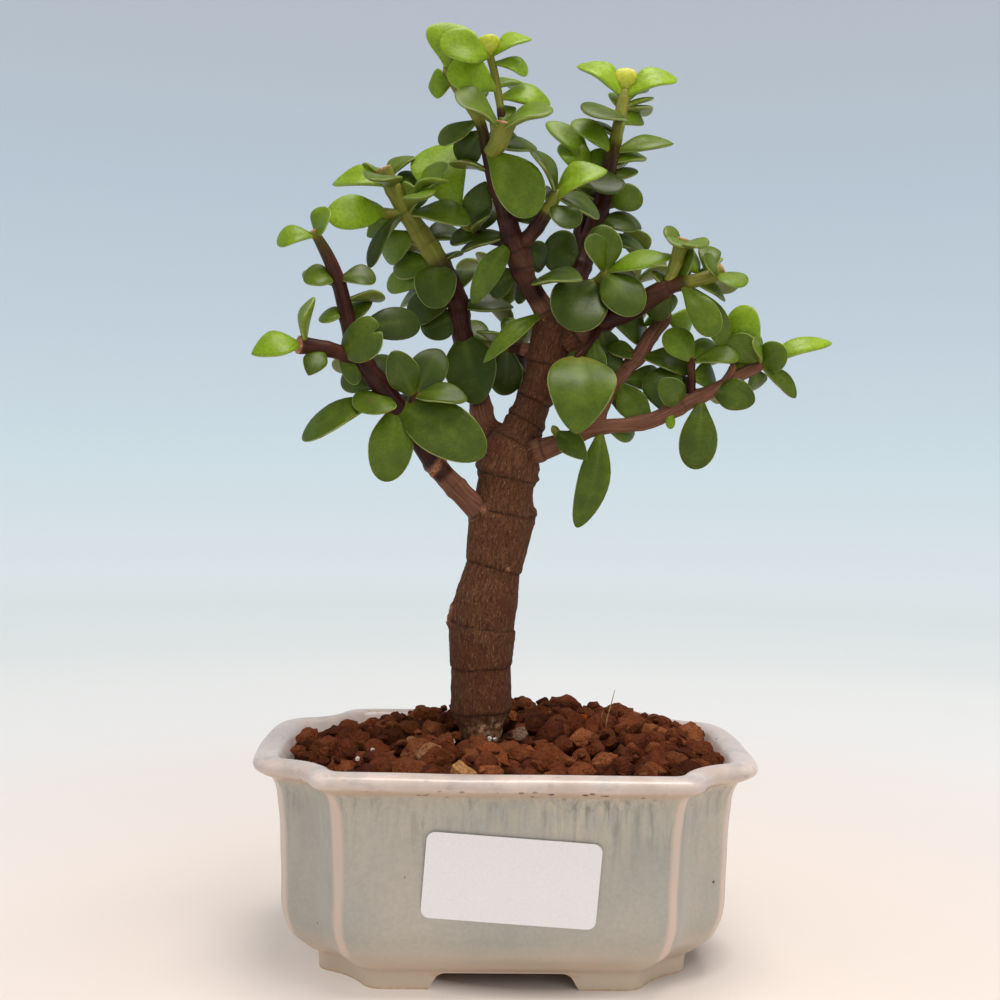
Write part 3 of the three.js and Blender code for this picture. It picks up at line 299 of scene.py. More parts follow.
                (1, 56.5, -11, 165, 8.5, FL, 0.85), (1, 79.8, -12, 156.2, 6, UF, 0.9),
                (1, 59, -16, 156, 7, R, 0.5), (1, 67, -17, 154, 8, F, 0.5),
                (0.96, 54, -13, 157, 8, FL, 0.5), (0.93, 63, -5, 145, 6, F, 0.4),
                (0.66, 38, -4, 147, 7, UF, 0.3)],
            "fork": [(0.6, 46, -7, 149, 9, UF, 0.35), (0.6, 24.5, -4, 154.5, 7, UF, 0.3),
                (0.47, 23, -4, 151, 8, F, 0.25), (0.38, 35.4, -9, 134.5, 8, F, 0.4),
                (0.39, 39, 3, 148, 7, F, 0.4), (0.19, 15, -6, 153, 8, FL, 0.35),
                (0.24, 31, 3, 141, 8, F, 0.4), (0.91, 36, 6, 163, 7, F, 0.8),
                (0.94, 47, 4, 161, 8, F, 0.8)],
            "rise": [(1, 39, -9, 159, 8, F, 0.6), (1, 51, -4, 157, 7, F, 0.6),
                (0.83, 56, -15, 152, 7, UF, 0.5), (0.47, 52, -4, 148, 8, F, 0.5)],
            "back": [(1, 55, -3, 160, 6, F, 0.8), (0.9, 53, -6, 156, 6, UF, 0.7),
                (0.59, 53, 2, 152, 7, UF, 0.6)],
            "bud": [(1, 19, -14, 126, 6.5, F, 0.4)],
        },
        "behind": [0.3, 0.5, 0.74, 0.88],
    },
    "twig_mid_left": {
        "lean": 0,
        "heart": (9, 1, 153.4),
        "young": {"main": 0.1},
        "cut": [],
        "stems": {
            "main": [(2.4, 3.9, 154.8, 1.6), (-1.5, 8, 156, 1.4), (-6.5, 13.5, 157, 1.2)],
        },
        "leaves": {
            "main": [(0.97, -13, 18, 163, 8, UF, 0.5), (0.4, 2, 11, 163, 8, F, 0.6),
                (0.35, -1.5, 12, 143, 9, F, 0.25), (0.5, -8, 4, 159, 8, U, 0.4),
                (0.97, -15, 18, 154, 9, UF, 0.3)],
        },
        "behind": [],
    },
    "limb_back_left": {
        "lean": 0,
        "heart": (5, 1, 135),
        "young": {"main": 0.7},
        "cut": [],
        "stems": {
            "main": [(4, 8, 141, 2.3), (5, 14, 147, 2.1), (3, 21, 156, 1.9), (-1, 27, 168, 1.6),
                (-4, 31, 181, 1.2)],
        },
        "leaves": {
            "main": [],
        },
        "behind": [0.22, 0.4, 0.56, 0.72, 0.86, 1],
    },
    "limb_back_right": {
        "lean": 0,
        "heart": (9, 1, 149),
        "young": {"main": 0.7},
        "cut": [],
        "stems": {
            "main": [(15.5, 8.6, 153.4, 2.1), (21, 15, 158, 1.9), (28, 22, 164, 1.7),
                (34, 28, 173, 1.4), (37, 31, 184, 1.1)],
        },
        "leaves": {
            "main": [],
        },
        "behind": [0.25, 0.45, 0.62, 0.8, 1],
    },
}

SEED = 20417
HIDDEN_TURNS = (-0.5, 0.9)
TURN_SPREAD = 0.6
HIDDEN_REACH = (11, 15)
HIDDEN_WIDTH = (8.5, 10.5)
HIDDEN_WAY = (0.85, 0.35)  # how much of its reach a leaf there goes out, and along the stem
HIDDEN_TONES = (0.12, 0.4)  # at the stem's foot, and how much is added towards its tip
SMALL_LEAF = 12  # a leaf shorter than this is thinner
LEAF_THICK = 2.2
ARCH = 0.09


# Numbers and places


def random_from(seed):
    """The same seeded draw as in the CAD model, so that the leaves behind stand where its solids are."""
    mask = 0xFFFFFFFF
    state = seed & mask

    def draw():
        nonlocal state
        state = (state + 0x6D2B79F5) & mask
        t = ((state ^ (state >> 15)) * (1 | state)) & mask
        t = ((t + (t ^ (t >> 7)) * (61 | t)) ^ t) & mask
        return (t ^ (t >> 14)) / 4294967296

    return draw


def mix(a, b, t):
    return a + (b - a) * t


def unit(vector):
    vector = np.asarray(vector, float)
    return vector / np.linalg.norm(vector)


def bell(distance, width):
    return np.exp(-((distance / width) ** 2))


def unit_rows(vectors):
    return vectors / np.linalg.norm(vectors, axis=1)[:, None]


def smooth_noise(points, stretch):
    """Noise between about -1 and 1 at each point, after the points are stretched."""
    return np.array([noise.noise(Vector(p)) for p in np.asarray(points) * stretch])


def distances(points):
    """How far along a path each of its points lies."""
    return np.concatenate([[0], np.cumsum(np.linalg.norm(np.diff(points, axis=0), axis=1))])


def along_rows(rows, where):
    """Rows at distances along a smooth path through them."""
    rows = np.array(rows, float)
    at = distances(rows[:, :3])
    where = np.asarray(where) * at[-1]
    slopes = np.gradient(rows, at, axis=0)
    k = np.clip(np.searchsorted(at, where, side="right") - 1, 0, len(at) - 2)
    span = (at[k + 1] - at[k])[:, None]
    t = (where - at[k])[:, None] / span
    start, end = rows[k], rows[k + 1]
    return (
        (2 * t**3 - 3 * t**2 + 1) * start
        + (t**3 - 2 * t**2 + t) * slopes[k] * span
        + (3 * t**2 - 2 * t**3) * end
        + (t**3 - t**2) * slopes[k + 1] * span
    )


def point_along(path, share):
    """The point a share of the way along a path of straight pieces, with the way it runs there."""
    at = np.array(path, float)[:, :3]
    lengths = np.linalg.norm(np.diff(at, axis=0), axis=1)
    left = min(share * lengths.sum(), lengths.sum() - ROOT_SINK)
    for i, length in enumerate(lengths):
        if left <= length or i == len(lengths) - 1:
            return mix(at[i], at[i + 1], min(left / length, 1)), (at[i + 1] - at[i]) / length
        left -= length


# Making and changing meshes


def begin():
    """Nothing selected, ready for a new primitive."""
    bpy.ops.object.select_all(action="DESELECT")


def only(*objects):
    """These are the selected objects, and the first is the active one."""
    begin()
    for obj in objects:
        obj.select_set(True)
    bpy.context.view_layer.objects.active = objects[0]


def named(name):
    obj = bpy.context.object
    obj.name = name
    obj.data.name = name
    return obj


def edit(obj):
    only(obj)
    bpy.ops.object.mode_set(mode="EDIT")
    bpy.ops.mesh.select_all(action="DESELECT")


def done():
    bpy.ops.object.mode_set(mode="OBJECT")


def pick(obj, kind, test):
    """In edit mode, selects just the verts, edges or faces that pass the test."""
    bpy.ops.mesh.select_mode(type={"verts": "VERT", "edges": "EDGE", "faces": "FACE"}[kind])
    bpy.ops.mesh.select_all(action="DESELECT")
    mesh = bmesh.from_edit_mesh(obj.data)
    for item in getattr(mesh, kind):
        if test(item):
            item.select_set(True)
    mesh.select_flush_mode()
    bmesh.update_edit_mesh(obj.data)


def pick_all():
    bpy.ops.mesh.select_all(action="SELECT")


def copied(obj):
    """A copy with its own mesh."""
    copy = obj.copy()
    copy.data = obj.data.copy()
    bpy.context.collection.objects.link(copy)
    return copy


def points_of(obj):
    flat = np.empty(len(obj.data.vertices) * 3, np.float32)
    obj.data.vertices.foreach_get("co", flat)
    return flat.reshape(-1, 3).astype(float)


def lay(obj, points):
    """Moves every vertex of an object to its point."""
    obj.data.vertices.foreach_set("co", np.asarray(points, np.float32).ravel())
    obj.data.update()


def put(obj, name, values):
    """Keeps a number, or three, at every vertex under a name."""
    values = np.asarray(values, np.float32)
    kind, key = ("FLOAT", "value") if values.ndim == 1 else ("FLOAT_VECTOR", "vector")
    layer = obj.data.attributes.new(name, kind, "POINT")
    layer.data.foreach_set(key, values.ravel())


def apply(obj, kind, **settings):
    """Adds a modifier and applies it."""
    only(obj)
    modifier = obj.modifiers.new(kind.title(), kind)
    for key, value in settings.items():
        setattr(modifier, key, value)
    bpy.ops.object.modifier_apply(modifier=modifier.name)


def outwards(obj):
    """Faces point out, once doubled points are merged."""
    edit(obj)
    pick_all()
    bpy.ops.mesh.remove_doubles(threshold=1e-6)
    bpy.ops.mesh.normals_make_consistent(inside=False)
    done()


def joined(name, objects):
    only(*objects)
    bpy.ops.object.join()
    return named(name)


def seat(obj):
    """From the tables' millimetres to metres in the part's own frame."""
    lay(obj, (points_of(obj) + (POT_X, 0, 0)) * MM)


def finished(obj, material, slot, *nodes, angle=None):
    """Gives a piece its finish and its body; its slot is not used."""
    obj.data.materials.clear()
    obj.data.materials.append(material)
    only(obj)
    if angle is None:
        bpy.ops.object.shade_smooth()
    else:
        bpy.ops.object.shade_smooth_by_angle(angle=math.radians(angle))
    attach(obj, "root")
    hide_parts(*nodes)


def cylinder_rings(name, sides, cuts):
    """A closed cylinder cut into rings. For each vertex it also gives the ring it is on, its way round
    and 1, or 0 for the middle of an end."""
    begin()
    bpy.ops.mesh.primitive_cylinder_add(vertices=sides, radius=1, depth=1, end_fill_type="TRIFAN")
    obj = named(name)
    edit(obj)
    rings = 1
    for cut in cuts:
        pick(obj, "edges", lambda edge: abs(edge.verts[0].co.z - edge.verts[1].co.z) > 1e-5)
        bpy.ops.mesh.subdivide(number_cuts=cut)
        rings *= cut + 1
    done()
    at = points_of(obj)
    ring = np.rint((at[:, 2] + 0.5) * rings).astype(int)
    return obj, ring, np.arctan2(at[:, 1], at[:, 0]), np.hypot(at[:, 0], at[:, 1])


def cuts_for(rings):
    """Cuts that divide a cylinder into this many rings, at most 100 at a time."""
    for first in range(min(rings, 100), 0, -1):
        if rings % first == 0:
            rest = rings // first
            return [first - 1] if rest == 1 else [first - 1, rest - 1]


def tube(name, rows, sides, rings):
    """A closed round stem through [x, y, z, radius] rows. Besides the object it gives, for each vertex,
    the ring's centre, the way out from it, the radius, the distance along and the way round."""
    stations = along_rows(rows, np.linspace(0, 1, rings + 1))
    centres, radii = stations[:, :3], stations[:, 3]
    ways = unit_rows(np.gradient(centres, axis=0))
    sides_at, side = [], np.array([1.0, 0.0, 0.0])
    for way in ways:
        side = side - way * side.dot(way)
        if np.linalg.norm(side) < 0.1:
            side = np.cross([0, 1, 0], way)
        side = unit(side)
        sides_at.append(side)
    across = np.array(sides_at)
    other = np.cross(ways, across)
    obj, ring, turn, out = cylinder_rings(name, sides, cuts_for(rings))
    way_out = across[ring] * np.cos(turn)[:, None] + other[ring] * np.sin(turn)[:, None]
    travelled = distances(centres)
    lay(obj, centres[ring] + way_out * (radii[ring] * out)[:, None])
    return obj, centres[ring], way_out, radii[ring], travelled[ring], turn, out


# Materials


class Nodes:
    """A material's node tree, written from the inside out."""

    def __init__(self, name):
        self.material = bpy.data.materials.new(name)
        self.material.use_nodes = True
        self.tree = self.material.node_tree
        self.tree.nodes.clear()
        self.shader = self.tree.nodes.new("ShaderNodeBsdfPrincipled")
        output = self.tree.nodes.new("ShaderNodeOutputMaterial")
        self.tree.links.new(self.shader.outputs[0], output.inputs[0])
        self.place = self.tree.nodes.new("ShaderNodeTexCoord").outputs["Object"]

    def link(self, value, socket):
        if isinstance(value, bpy.types.NodeSocket):
            self.tree.links.new(value, socket)
        elif value is not None:
            socket.default_value = value

    def add(self, kind, settings=(), **sockets):
        node = self.tree.nodes.new("ShaderNode" + kind)
        for key, value in dict(settings).items():
            setattr(node, key, value)
        for key, value in sockets.items():
            self.link(value, node.inputs[key.replace("_", " ")])
        return node

    def attribute(self, name, output="Fac"):
        return self.add("Attribute", {"attribute_name": name}).outputs[output]

    def stretched(self, vector, x, y, z):
        return self.add("Mapping", Vector=vector, Scale=(x, y, z)).outputs[0]

    def noise(self, vector, scale, detail, roughness=0.55):
        node = self.add("TexNoise", Vector=vector, Scale=scale, Detail=detail, Roughness=roughness)
        return node.outputs["Fac"]

    def cells(self, vector, scale):
        """How far it is to the nearest of many scattered points."""
        return self.add("TexVoronoi", Vector=vector, Scale=scale).outputs["Distance"]

    def ramp(self, value, *stops):
        """A ramp through (place, colour or grey) stops."""
        node = self.add("ValToRGB", Fac=value)
        line = node.color_ramp
        while len(line.elements) < len(stops):
            line.elements.new(0.5)
        for element, (place, colour) in zip(line.elements, stops):
            element.position = place
            element.color = (colour, colour, colour, 1) if isinstance(colour, (int, float)) else colour
        return node.outputs[0]

    def math(self, operation, a, b):
        node = self.tree.nodes.new("ShaderNodeMath")
        node.operation = operation
        self.link(a, node.inputs[0])
        self.link(b, node.inputs[1])
        return node.outputs[0]

    def between(self, amount, a, b, blend="MIX"):
        """One colour over another, by an amount."""
        node = self.tree.nodes.new("ShaderNodeMix")
        node.data_type = "RGBA"
        node.blend_type = blend
        self.link(amount, node.inputs[0])
        self.link(a, node.inputs[6])
        self.link(b, node.inputs[7])
        return node.outputs[2]

    def over(self, colour, paint, amount, *stops):
        """A paint over a colour, by an amount or, with stops, by where they take it."""
        return self.between(self.ramp(amount, *stops) if stops else amount, colour, paint)

    def times(self, a, b):
        return self.math("MULTIPLY", a, b)

    def swing(self, value, reach):
        """A noise's swing about its middle, made wider or narrower."""
        return self.times(self.math("SUBTRACT", value, 0.5), reach)

    def height(self):
        return self.add("SeparateXYZ", Vector=self.place).outputs[2]

    def bump(self, height, distance, strength, under=None):
        node = self.add("Bump", Height=height, Distance=distance, Strength=strength)
        self.link(under, node.inputs["Normal"])
        return node.outputs[0]

    def finish(self, **sockets):
        for key, value in sockets.items():
            self.link(value, self.shader.inputs[key.replace("_", " ")])
        return self.material


def rgb(red, green, blue):
    """A colour as seen, from 0 to 255, as the light it sends back."""
    def light(value):
        value /= 255
        return value / 12.92 if value <= 0.04045 else ((value + 0.055) / 1.055) ** 2.4
    return (light(red), light(green), light(blue), 1)


def glaze():
    """Grey-green glaze over a tan body. Where it runs thin, at ridges and rim, it breaks to cream."""
    n = Nodes("celadon_glaze")
    z = n.height()
    cloud = n.noise(n.place, 45, 5)
    fine = n.noise(n.place, 900, 4)
    wall = n.ramp(cloud, (0.3, rgb(158, 156, 146)), (0.5, rgb(172, 166, 154)), (0.72, rgb(182, 172, 158)))
    wall = n.over(wall, rgb(134, 134, 126), fine, (0.35, 0.25), (0.7, 0.0))
    wall = n.over(wall, rgb(196, 176, 154), n.times(z, 10), (0.06, 0.85), (0.14, 0.0))
    # Runs of cream and brown hang from the rim.
    runs = n.noise(n.stretched(n.place, 1, 1, 0.07), 620, 3, 0.6)
    reach = n.add("MapRange", Value=z, From_Min=0.029, From_Max=0.046).outputs[0]
    patch = n.noise(n.stretched(n.place, 1, 1, 0.3), 60, 2)
    shown = n.times(reach, n.ramp(patch, (0.42, 0.25), (0.62, 1.0)))
    pale_runs = n.times(shown, n.ramp(runs, (0.51, 0.0), (0.62, 0.6)))
    dark_runs = n.times(shown, n.ramp(runs, (0.36, 0.65), (0.46, 0.0)))
    wall = n.over(wall, rgb(198, 184, 156), pale_runs)
    wall = n.over(wall, rgb(116, 106, 92), dark_runs)
    # Fine pale sparkle
    sparks = n.ramp(n.cells(n.place, 1500), (0.0, 1.0), (0.16, 0.0))
    where = n.ramp(n.noise(n.place, 400, 2), (0.5, 0.0), (0.62, 0.6))
    wall = n.over(wall, rgb(214, 212, 200), n.times(sparks, where))
    # Thin glaze along the ridges, and the rim's own mottled cream
    edge = n.math("ADD", n.attribute("thin"), n.swing(cloud, 0.5))
    wall = n.over(wall, rgb(206, 182, 166), edge, (0.4, 0.0), (0.85, 0.9))
    rim = n.math("ADD", n.attribute("rim"), n.swing(cloud, 0.7))
    cream = n.ramp(n.noise(n.place, 70, 4), (0.35, rgb(190, 171, 158)), (0.6, rgb(208, 190, 180)))
    smoky = n.noise(n.stretched(n.place, 0.6, 0.6, 1), 210, 4, 0.6)
    cream = n.over(cream, rgb(166, 160, 154), smoky, (0.52, 0.0), (0.66, 0.55))
    wall = n.over(wall, rgb(208, 176, 148), n.times(n.attribute("under_rim"), 0.65))
    wall = n.over(wall, cream, rim, (0.3, 0.0), (0.62, 1.0))
    # Iron specks, thickest along the rim's lower edge
    specks = n.ramp(n.cells(n.place, 190), (0.05, 1.0), (0.085, 0.0))
    freckles = n.times(specks, n.ramp(n.noise(n.place, 95, 1), (0.54, 0.0), (0.57, 1.0)))
    rim_specks = n.ramp(n.cells(n.stretched(n.place, 1, 1, 1.3), 340), (0.2, 1.0), (0.28, 0.0))
    rim_specks = n.times(rim_specks, n.ramp(n.noise(n.place, 130, 2), (0.46, 0.0), (0.52, 1.0)))
    rim_freckles = n.times(rim_specks, n.attribute("under_rim"))
    wall = n.over(wall, rgb(84, 60, 42), n.math("MAXIMUM", freckles, rim_freckles))
    # Bare clay on the feet and underneath
    line = n.math("ADD", z, n.times(n.noise(n.place, 160, 2), 0.0012))
    low = n.ramp(n.times(line, 100), (0.05, 1.0), (0.09, 0.0))
    bare = n.math("MAXIMUM", n.attribute("underneath"), low)
    clay = n.ramp(n.noise(n.place, 700, 4), (0.35, rgb(176, 140, 104)), (0.7, rgb(208, 176, 138)))
    bumps = n.bump(n.noise(n.place, 260, 3), 0.0004, 0.35)
    bumps = n.bump(n.noise(n.place, 2200, 2), 0.0001, 0.25, bumps)
    gloss = n.math("ADD", n.times(bare, 0.45), n.ramp(fine, (0.3, 0.3), (0.7, 0.42)))
    return n.finish(Base_Color=n.over(wall, clay, bare), Roughness=gloss, Normal=bumps,
                    Coat_Weight=0.25, Coat_Roughness=0.2)


def sticker_paper():
    n = Nodes("plain_sticker")
    weave = n.noise(n.place, 2600, 3)
    colour = n.ramp(weave, (0.3, rgb(226, 222, 221)), (0.7, rgb(234, 231, 230)))
    return n.finish(Base_Color=colour, Roughness=0.38, Normal=n.bump(weave, 0.00003, 0.3))


def netting_plastic():
    n = Nodes("black_netting")
    grain = n.noise(n.place, 1800, 3)
    colour = n.ramp(grain, (0.3, rgb(30, 32, 34)), (0.7, rgb(48, 50, 52)))
    return n.finish(Base_Color=colour, Roughness=0.55, Normal=n.bump(grain, 0.0001, 0.3))


def granule_stone():
    """Porous fired grains. Each has its own colour, kept at its vertices."""
    n = Nodes("porous_granules")
    own = n.attribute("paint", "Color")
    blotch = n.noise(n.place, 500, 5, 0.65)
    grit = n.noise(n.place, 2400, 3, 0.6)
    lit = n.ramp(blotch, (0.35, 0.0), (0.7, 0.6))
    colour = n.between(lit, own, rgb(150, 98, 62), "OVERLAY")
    colour = n.over(colour, rgb(46, 24, 14), grit, (0.3, 0.7), (0.5, 0.0))
    # Dark pits: painted shade inside the pores.
    pits = n.ramp(n.cells(n.place, 900), (0.12, 0.75), (0.3, 0.0))
    pits = n.times(pits, n.ramp(blotch, (0.45, 0.0), (0.6, 1.0)))
    colour = n.over(colour, rgb(40, 20, 12), pits)
    bumps = n.bump(blotch, 0.0012, 0.8)
    bumps = n.bump(n.cells(n.place, 1100), 0.0006, 0.6, bumps)
    bumps = n.bump(grit, 0.0004, 0.7, bumps)
    return n.finish(Base_Color=colour, Roughness=1.0, Normal=bumps, Specular_IOR_Level=0.08)


def bark():
    """Old wood in corky ridges, smooth red-brown limbs and olive young stems, by age at each vertex."""
    n = Nodes("ringed_bark")
    skin = n.attribute("grain", "Vector")
    age = n.attribute("age")
    bend = n.add("TexNoise", Vector=skin, Scale=0.35, Detail=2.0).outputs["Color"]
    wavy = n.add("VectorMath", {"operation": "MULTIPLY_ADD"}, Vector=bend)
    wavy.inputs[1].default_value = (2.2, 2.2, 0)
    n.link(skin, wavy.inputs[2])
    wavy = wavy.outputs[0]
    net = n.noise(n.stretched(wavy, 1, 1, 0.16), 1.9, 5, 0.62)
    threads = n.noise(n.stretched(wavy, 1, 1, 0.1), 5.6, 3, 0.55)
    fine = n.noise(n.stretched(skin, 1, 1, 0.3), 4.2, 4, 0.65)
    silk = n.noise(n.stretched(skin, 1, 1, 0.06), 2.4, 3, 0.5)
    patches = n.noise(n.place, 90, 3)
    old = n.ramp(net, (0.3, rgb(58, 32, 19)), (0.45, rgb(84, 50, 31)), (0.58, rgb(102, 63, 40)),
                 (0.72, rgb(120, 79, 52)))
    old = n.over(old, rgb(86, 42, 26), patches, (0.48, 0.0), (0.66, 0.6))
    old = n.over(old, rgb(160, 122, 90), threads, (0.61, 0.0), (0.66, 0.7))
    old = n.over(old, rgb(38, 21, 13), threads, (0.32, 0.7), (0.38, 0.0))
    red = n.ramp(silk, (0.32, rgb(30, 8, 4)), (0.5, rgb(48, 16, 8)), (0.72, rgb(74, 34, 18)))
    red = n.over(red, rgb(96, 58, 34), patches, (0.5, 0.0), (0.75, 0.5))
    olive = n.ramp(silk, (0.3, rgb(54, 48, 8)), (0.6, rgb(72, 64, 14)), (0.8, rgb(98, 80, 30)))
    fresh = n.ramp(silk, (0.3, rgb(104, 108, 34)), (0.6, rgb(126, 124, 46)), (0.8, rgb(142, 128, 62)))
    colour = n.over(fresh, olive, age, (0.06, 0.0), (0.2, 1.0))
    ripple = n.math("ADD", age, n.swing(patches, 0.25))
    colour = n.over(colour, red, ripple, (0.12, 0.0), (0.45, 1.0))
    tan = n.ramp(silk, (0.3, rgb(92, 56, 40)), (0.55, rgb(114, 74, 54)), (0.75, rgb(134, 94, 72)))
    colour = n.over(colour, tan, ripple, (0.58, 0.0), (0.72, 1.0))
    colour = n.over(colour, old, ripple, (0.84, 0.0), (0.96, 1.0))
    colour = n.over(colour, rgb(28, 14, 9), n.attribute("scar"))
    flakes = n.ramp(n.noise(skin, 1.8, 5, 0.75), (0.38, rgb(84, 38, 22)), (0.5, rgb(182, 118, 86)),
                    (0.7, rgb(216, 168, 134)))
    colour = n.over(colour, flakes, n.attribute("cut"))
    crust = n.ramp(n.noise(n.place, 900, 4, 0.7), (0.38, rgb(104, 66, 42)), (0.55, rgb(178, 134, 96)),
                   (0.7, rgb(230, 204, 170)))
    colour = n.over(colour, crust, n.attribute("crust"))
    rough = n.ramp(age, (0.3, 0.42), (0.6, 0.5), (0.9, 0.85))
    bumps = n.bump(n.times(n.ramp(age, (0.6, 0.0), (0.95, 1.0)), net), 0.0007, 0.7)
    bumps = n.bump(n.times(n.ramp(age, (0.6, 0.1), (0.95, 1.0)), threads), 0.0003, 0.6, bumps)
    bumps = n.bump(fine, 0.0001, 0.35, bumps)
    return n.finish(Base_Color=colour, Roughness=rough, Normal=bumps, Specular_IOR_Level=0.2)


def leaf_green():
    """Waxy green, from deep green to lime by tone, paler underneath, with a thin pale or reddish rim; the
    pale green of the rim is partly painted glow of light through the thin edge.
    """
    n = Nodes("waxy_leaf")
    tone = n.attribute("tone")
    skin = n.attribute("grain", "Vector")
    drift = n.noise(skin, 0.22, 3)
    mottle = n.noise(skin, 1.3, 5, 0.6)
    # The tone is the leaf's own green, with painted shade on leaves in shadow and painted sheen on some
    # lit ones.
    shade = n.math("ADD", tone, n.swing(drift, 0.4))
    green = n.ramp(n.math("DIVIDE", shade, 1.6), (0.0, rgb(42, 50, 12)), (0.2, rgb(64, 78, 15)),
                   (0.34, rgb(90, 110, 20)), (0.5, rgb(114, 142, 20)), (0.66, rgb(146, 176, 34)),
                   (0.95, rgb(226, 204, 78)))
    below = n.over(green, rgb(128, 134, 58), 0.55)
    colour = n.over(green, below, n.attribute("under"))
    colour = n.over(colour, rgb(38, 60, 14), mottle, (0.35, 0.3), (0.62, 0.0))
    colour = n.over(colour, rgb(140, 158, 66), n.times(n.attribute("rib"), 0.2))
    colour = n.over(colour, rgb(142, 138, 58), n.times(n.attribute("root"), 0.6))
    # The rim's pale green is partly its own colour and partly painted glow of light through the thin edge;
    # the reddish rim is its own.
    rim_tint = n.over(rgb(190, 198, 122), rgb(140, 104, 66), drift, (0.5, 0.0), (0.62, 1.0))
    old_rim = n.ramp(tone, (0.1, 0.15), (0.35, 0.45), (0.8, 0.3), (1.1, 0.15))
    rim = n.times(n.ramp(n.attribute("rim"), (0.95, 0.0), (0.985, 1.0)), old_rim)
    colour = n.over(colour, rim_tint, rim)
    dots = n.ramp(n.cells(skin, 0.5), (0.05, 0.9), (0.085, 0.0))
    colour = n.over(colour, rgb(34, 36, 18), n.times(dots, n.ramp(mottle, (0.44, 1.0), (0.5, 0.0))))
    pale = n.ramp(n.cells(skin, 1.9), (0.08, 0.5), (0.16, 0.0))
    colour = n.over(colour, rgb(172, 180, 104), n.times(pale, n.ramp(drift, (0.45, 0.0), (0.6, 1.0))))
    colour = n.over(colour, rgb(112, 76, 48), n.attribute("blemish"))
    bumps = n.bump(drift, 0.00035, 0.4)
    bumps = n.bump(n.noise(skin, 5, 2), 0.00003, 0.25, bumps)
    rough = n.ramp(mottle, (0.3, 0.34), (0.7, 0.48))
    return n.finish(Base_Color=colour, Roughness=rough, Normal=bumps, Subsurface_Weight=0.2,
                    Subsurface_Radius=(0.7, 1.0, 0.15), Subsurface_Scale=0.0014,
                    Specular_IOR_Level=0.23)


# The pot


def flat_curve(a, b, c, t):
    """A quadratic curve from a to c that is drawn towards b."""
    a, b, c = (np.asarray(p, float) for p in (a, b, c))
    t = np.asarray(t)[:, None]
    return a * (1 - t) ** 2 + 2 * b * t * (1 - t) + c * t * t


SIDE_STEPS = (6, 7, 7, 6, 8)  # along a quarter: short side, its corner, the notch, the ridge, long side
POT_SIDES = 4 * sum(SIDE_STEPS)
HOLLOW = 0.45  # how far the notch's curve is drawn in
HOLLOW_GROWTH = 0.02
RIDGE_REACH = 2.1  # how far from a ridge its glaze runs thin
ARCH_SLOPE = 3  # how much wider the gap between two feet is at the table
ARCH_ROUNDING = 1.6


def outline_step(turn):
    """The outline's point that a vertex of a round with as many sides stands for."""
    return np.rint(turn / (2 * math.pi) * POT_SIDES).astype(int) % POT_SIDES


def outline(half):
    """The pot's notched outline at one half width, from the middle of the right side round, and how
    near each point is to one of the ridges beside a notch."""
    depth = half - POT_DEPTH_STEP / 2
    grown = half - FOOT_HALF
    notch = CORNER_NOTCH + NOTCH_GROWTH * grown
    bow = max(0, SIDE_BOW * grown)
    dip = HOLLOW + HOLLOW_GROWTH * grown
    lobe = LOBE_ROUNDING + LOBE_GROWTH * grown
    front, flank = (half - notch, depth), (half, depth - notch)
    middle = ((front[0] + flank[0]) / 2, (front[1] + flank[1]) / 2)
    hollow = (mix(middle[0], front[0], dip), mix(middle[1], flank[1], dip))
    a, b = flat_curve(flank, hollow, front, [0.2, 0.8])
    side = (half + bow * 0.5, flank[1] - lobe)
    long_side = (front[0] - RIDGE_ROUNDING, depth)
    crown = (0, depth + bow * FRONT_BOW)
    steps = [np.linspace(0, 1, n, endpoint=False) for n in SIDE_STEPS]
    quarter = np.concatenate([
        flat_curve((half + bow, 0), (half + bow, side[1] / 2), side, steps[0]),
        flat_curve(side, flank, a, steps[1]),
        flat_curve(flank, hollow, front, 0.2 + 0.6 * steps[2]),
        flat_curve(b, front, long_side, steps[3]),
        flat_curve(long_side, (long_side[0] / 2, crown[1]), crown, steps[4]),
    ])
    half_round = np.concatenate([quarter, [crown], quarter[:0:-1] * (-1, 1)])
    points = np.concatenate([half_round, -half_round])
    peaks = [flat_curve(side, flank, a, [0.5])[0], flat_curve(b, front, long_side, [0.5])[0]]
    away = np.min([np.hypot(*(np.abs(points) - peak).T) for peak in peaks], axis=0)
    return points, bell(away, RIDGE_REACH)


def prism(name, levels):
    """A closed solid through outlines at [half width, height] levels."""
    cuts = [len(levels) - 2] if len(levels) > 2 else []
    obj, ring, turn, out = cylinder_rings(name, POT_SIDES, cuts)
    rows = np.array([outline(half)[0] for half, _ in levels])
    flat = rows[ring, outline_step(turn)] * out[:, None]
    lay(obj, np.column_stack([flat, np.array(levels)[ring, 1]]))
    return obj


def arch_cutter(name, half, reach, across):
    """The space between two feet, with sloping ends and a rounded roof."""
    begin()
    bpy.ops.mesh.primitive_cube_add(size=1)
    obj = named(name)
    at = points_of(obj)
    widths = np.where(at[:, 2] > 0, half, half + ARCH_SLOPE)
    flat = np.column_stack([np.sign(at[:, 0]) * widths, np.sign(at[:, 1]) * reach])
    if not across:
        flat = flat[:, ::-1] * (1, -1)
    lay(obj, np.column_stack([flat, np.where(at[:, 2] > 0, FOOT_HEIGHT, -1)]))
    edit(obj)
    run = 1 if across else 0
    pick(obj, "edges", lambda e: e.verts[0].co.z > 0 < e.verts[1].co.z
         and abs(e.verts[0].co[run] - e.verts[1].co[run]) > 1)
    bpy.ops.mesh.bevel(offset=ARCH_ROUNDING, segments=4, affect="EDGES")
    done()
    return obj


WALL_CUTS = (39, 3)
INSIDE_FROM = 0.52  # the share of the wall's rings that lie outside and over the lip
HAND = ((0.035, 0.35), (0.11, 0.12))  # how the wall wanders: how fast, and how far
BENDS = ((11.2, 2.2, 0.35), (5.2, 0.6, 0.5))  # edges where the glaze thins: height, width, how much
LIP_FOOT = 49.6  # where iron gathers under the lip


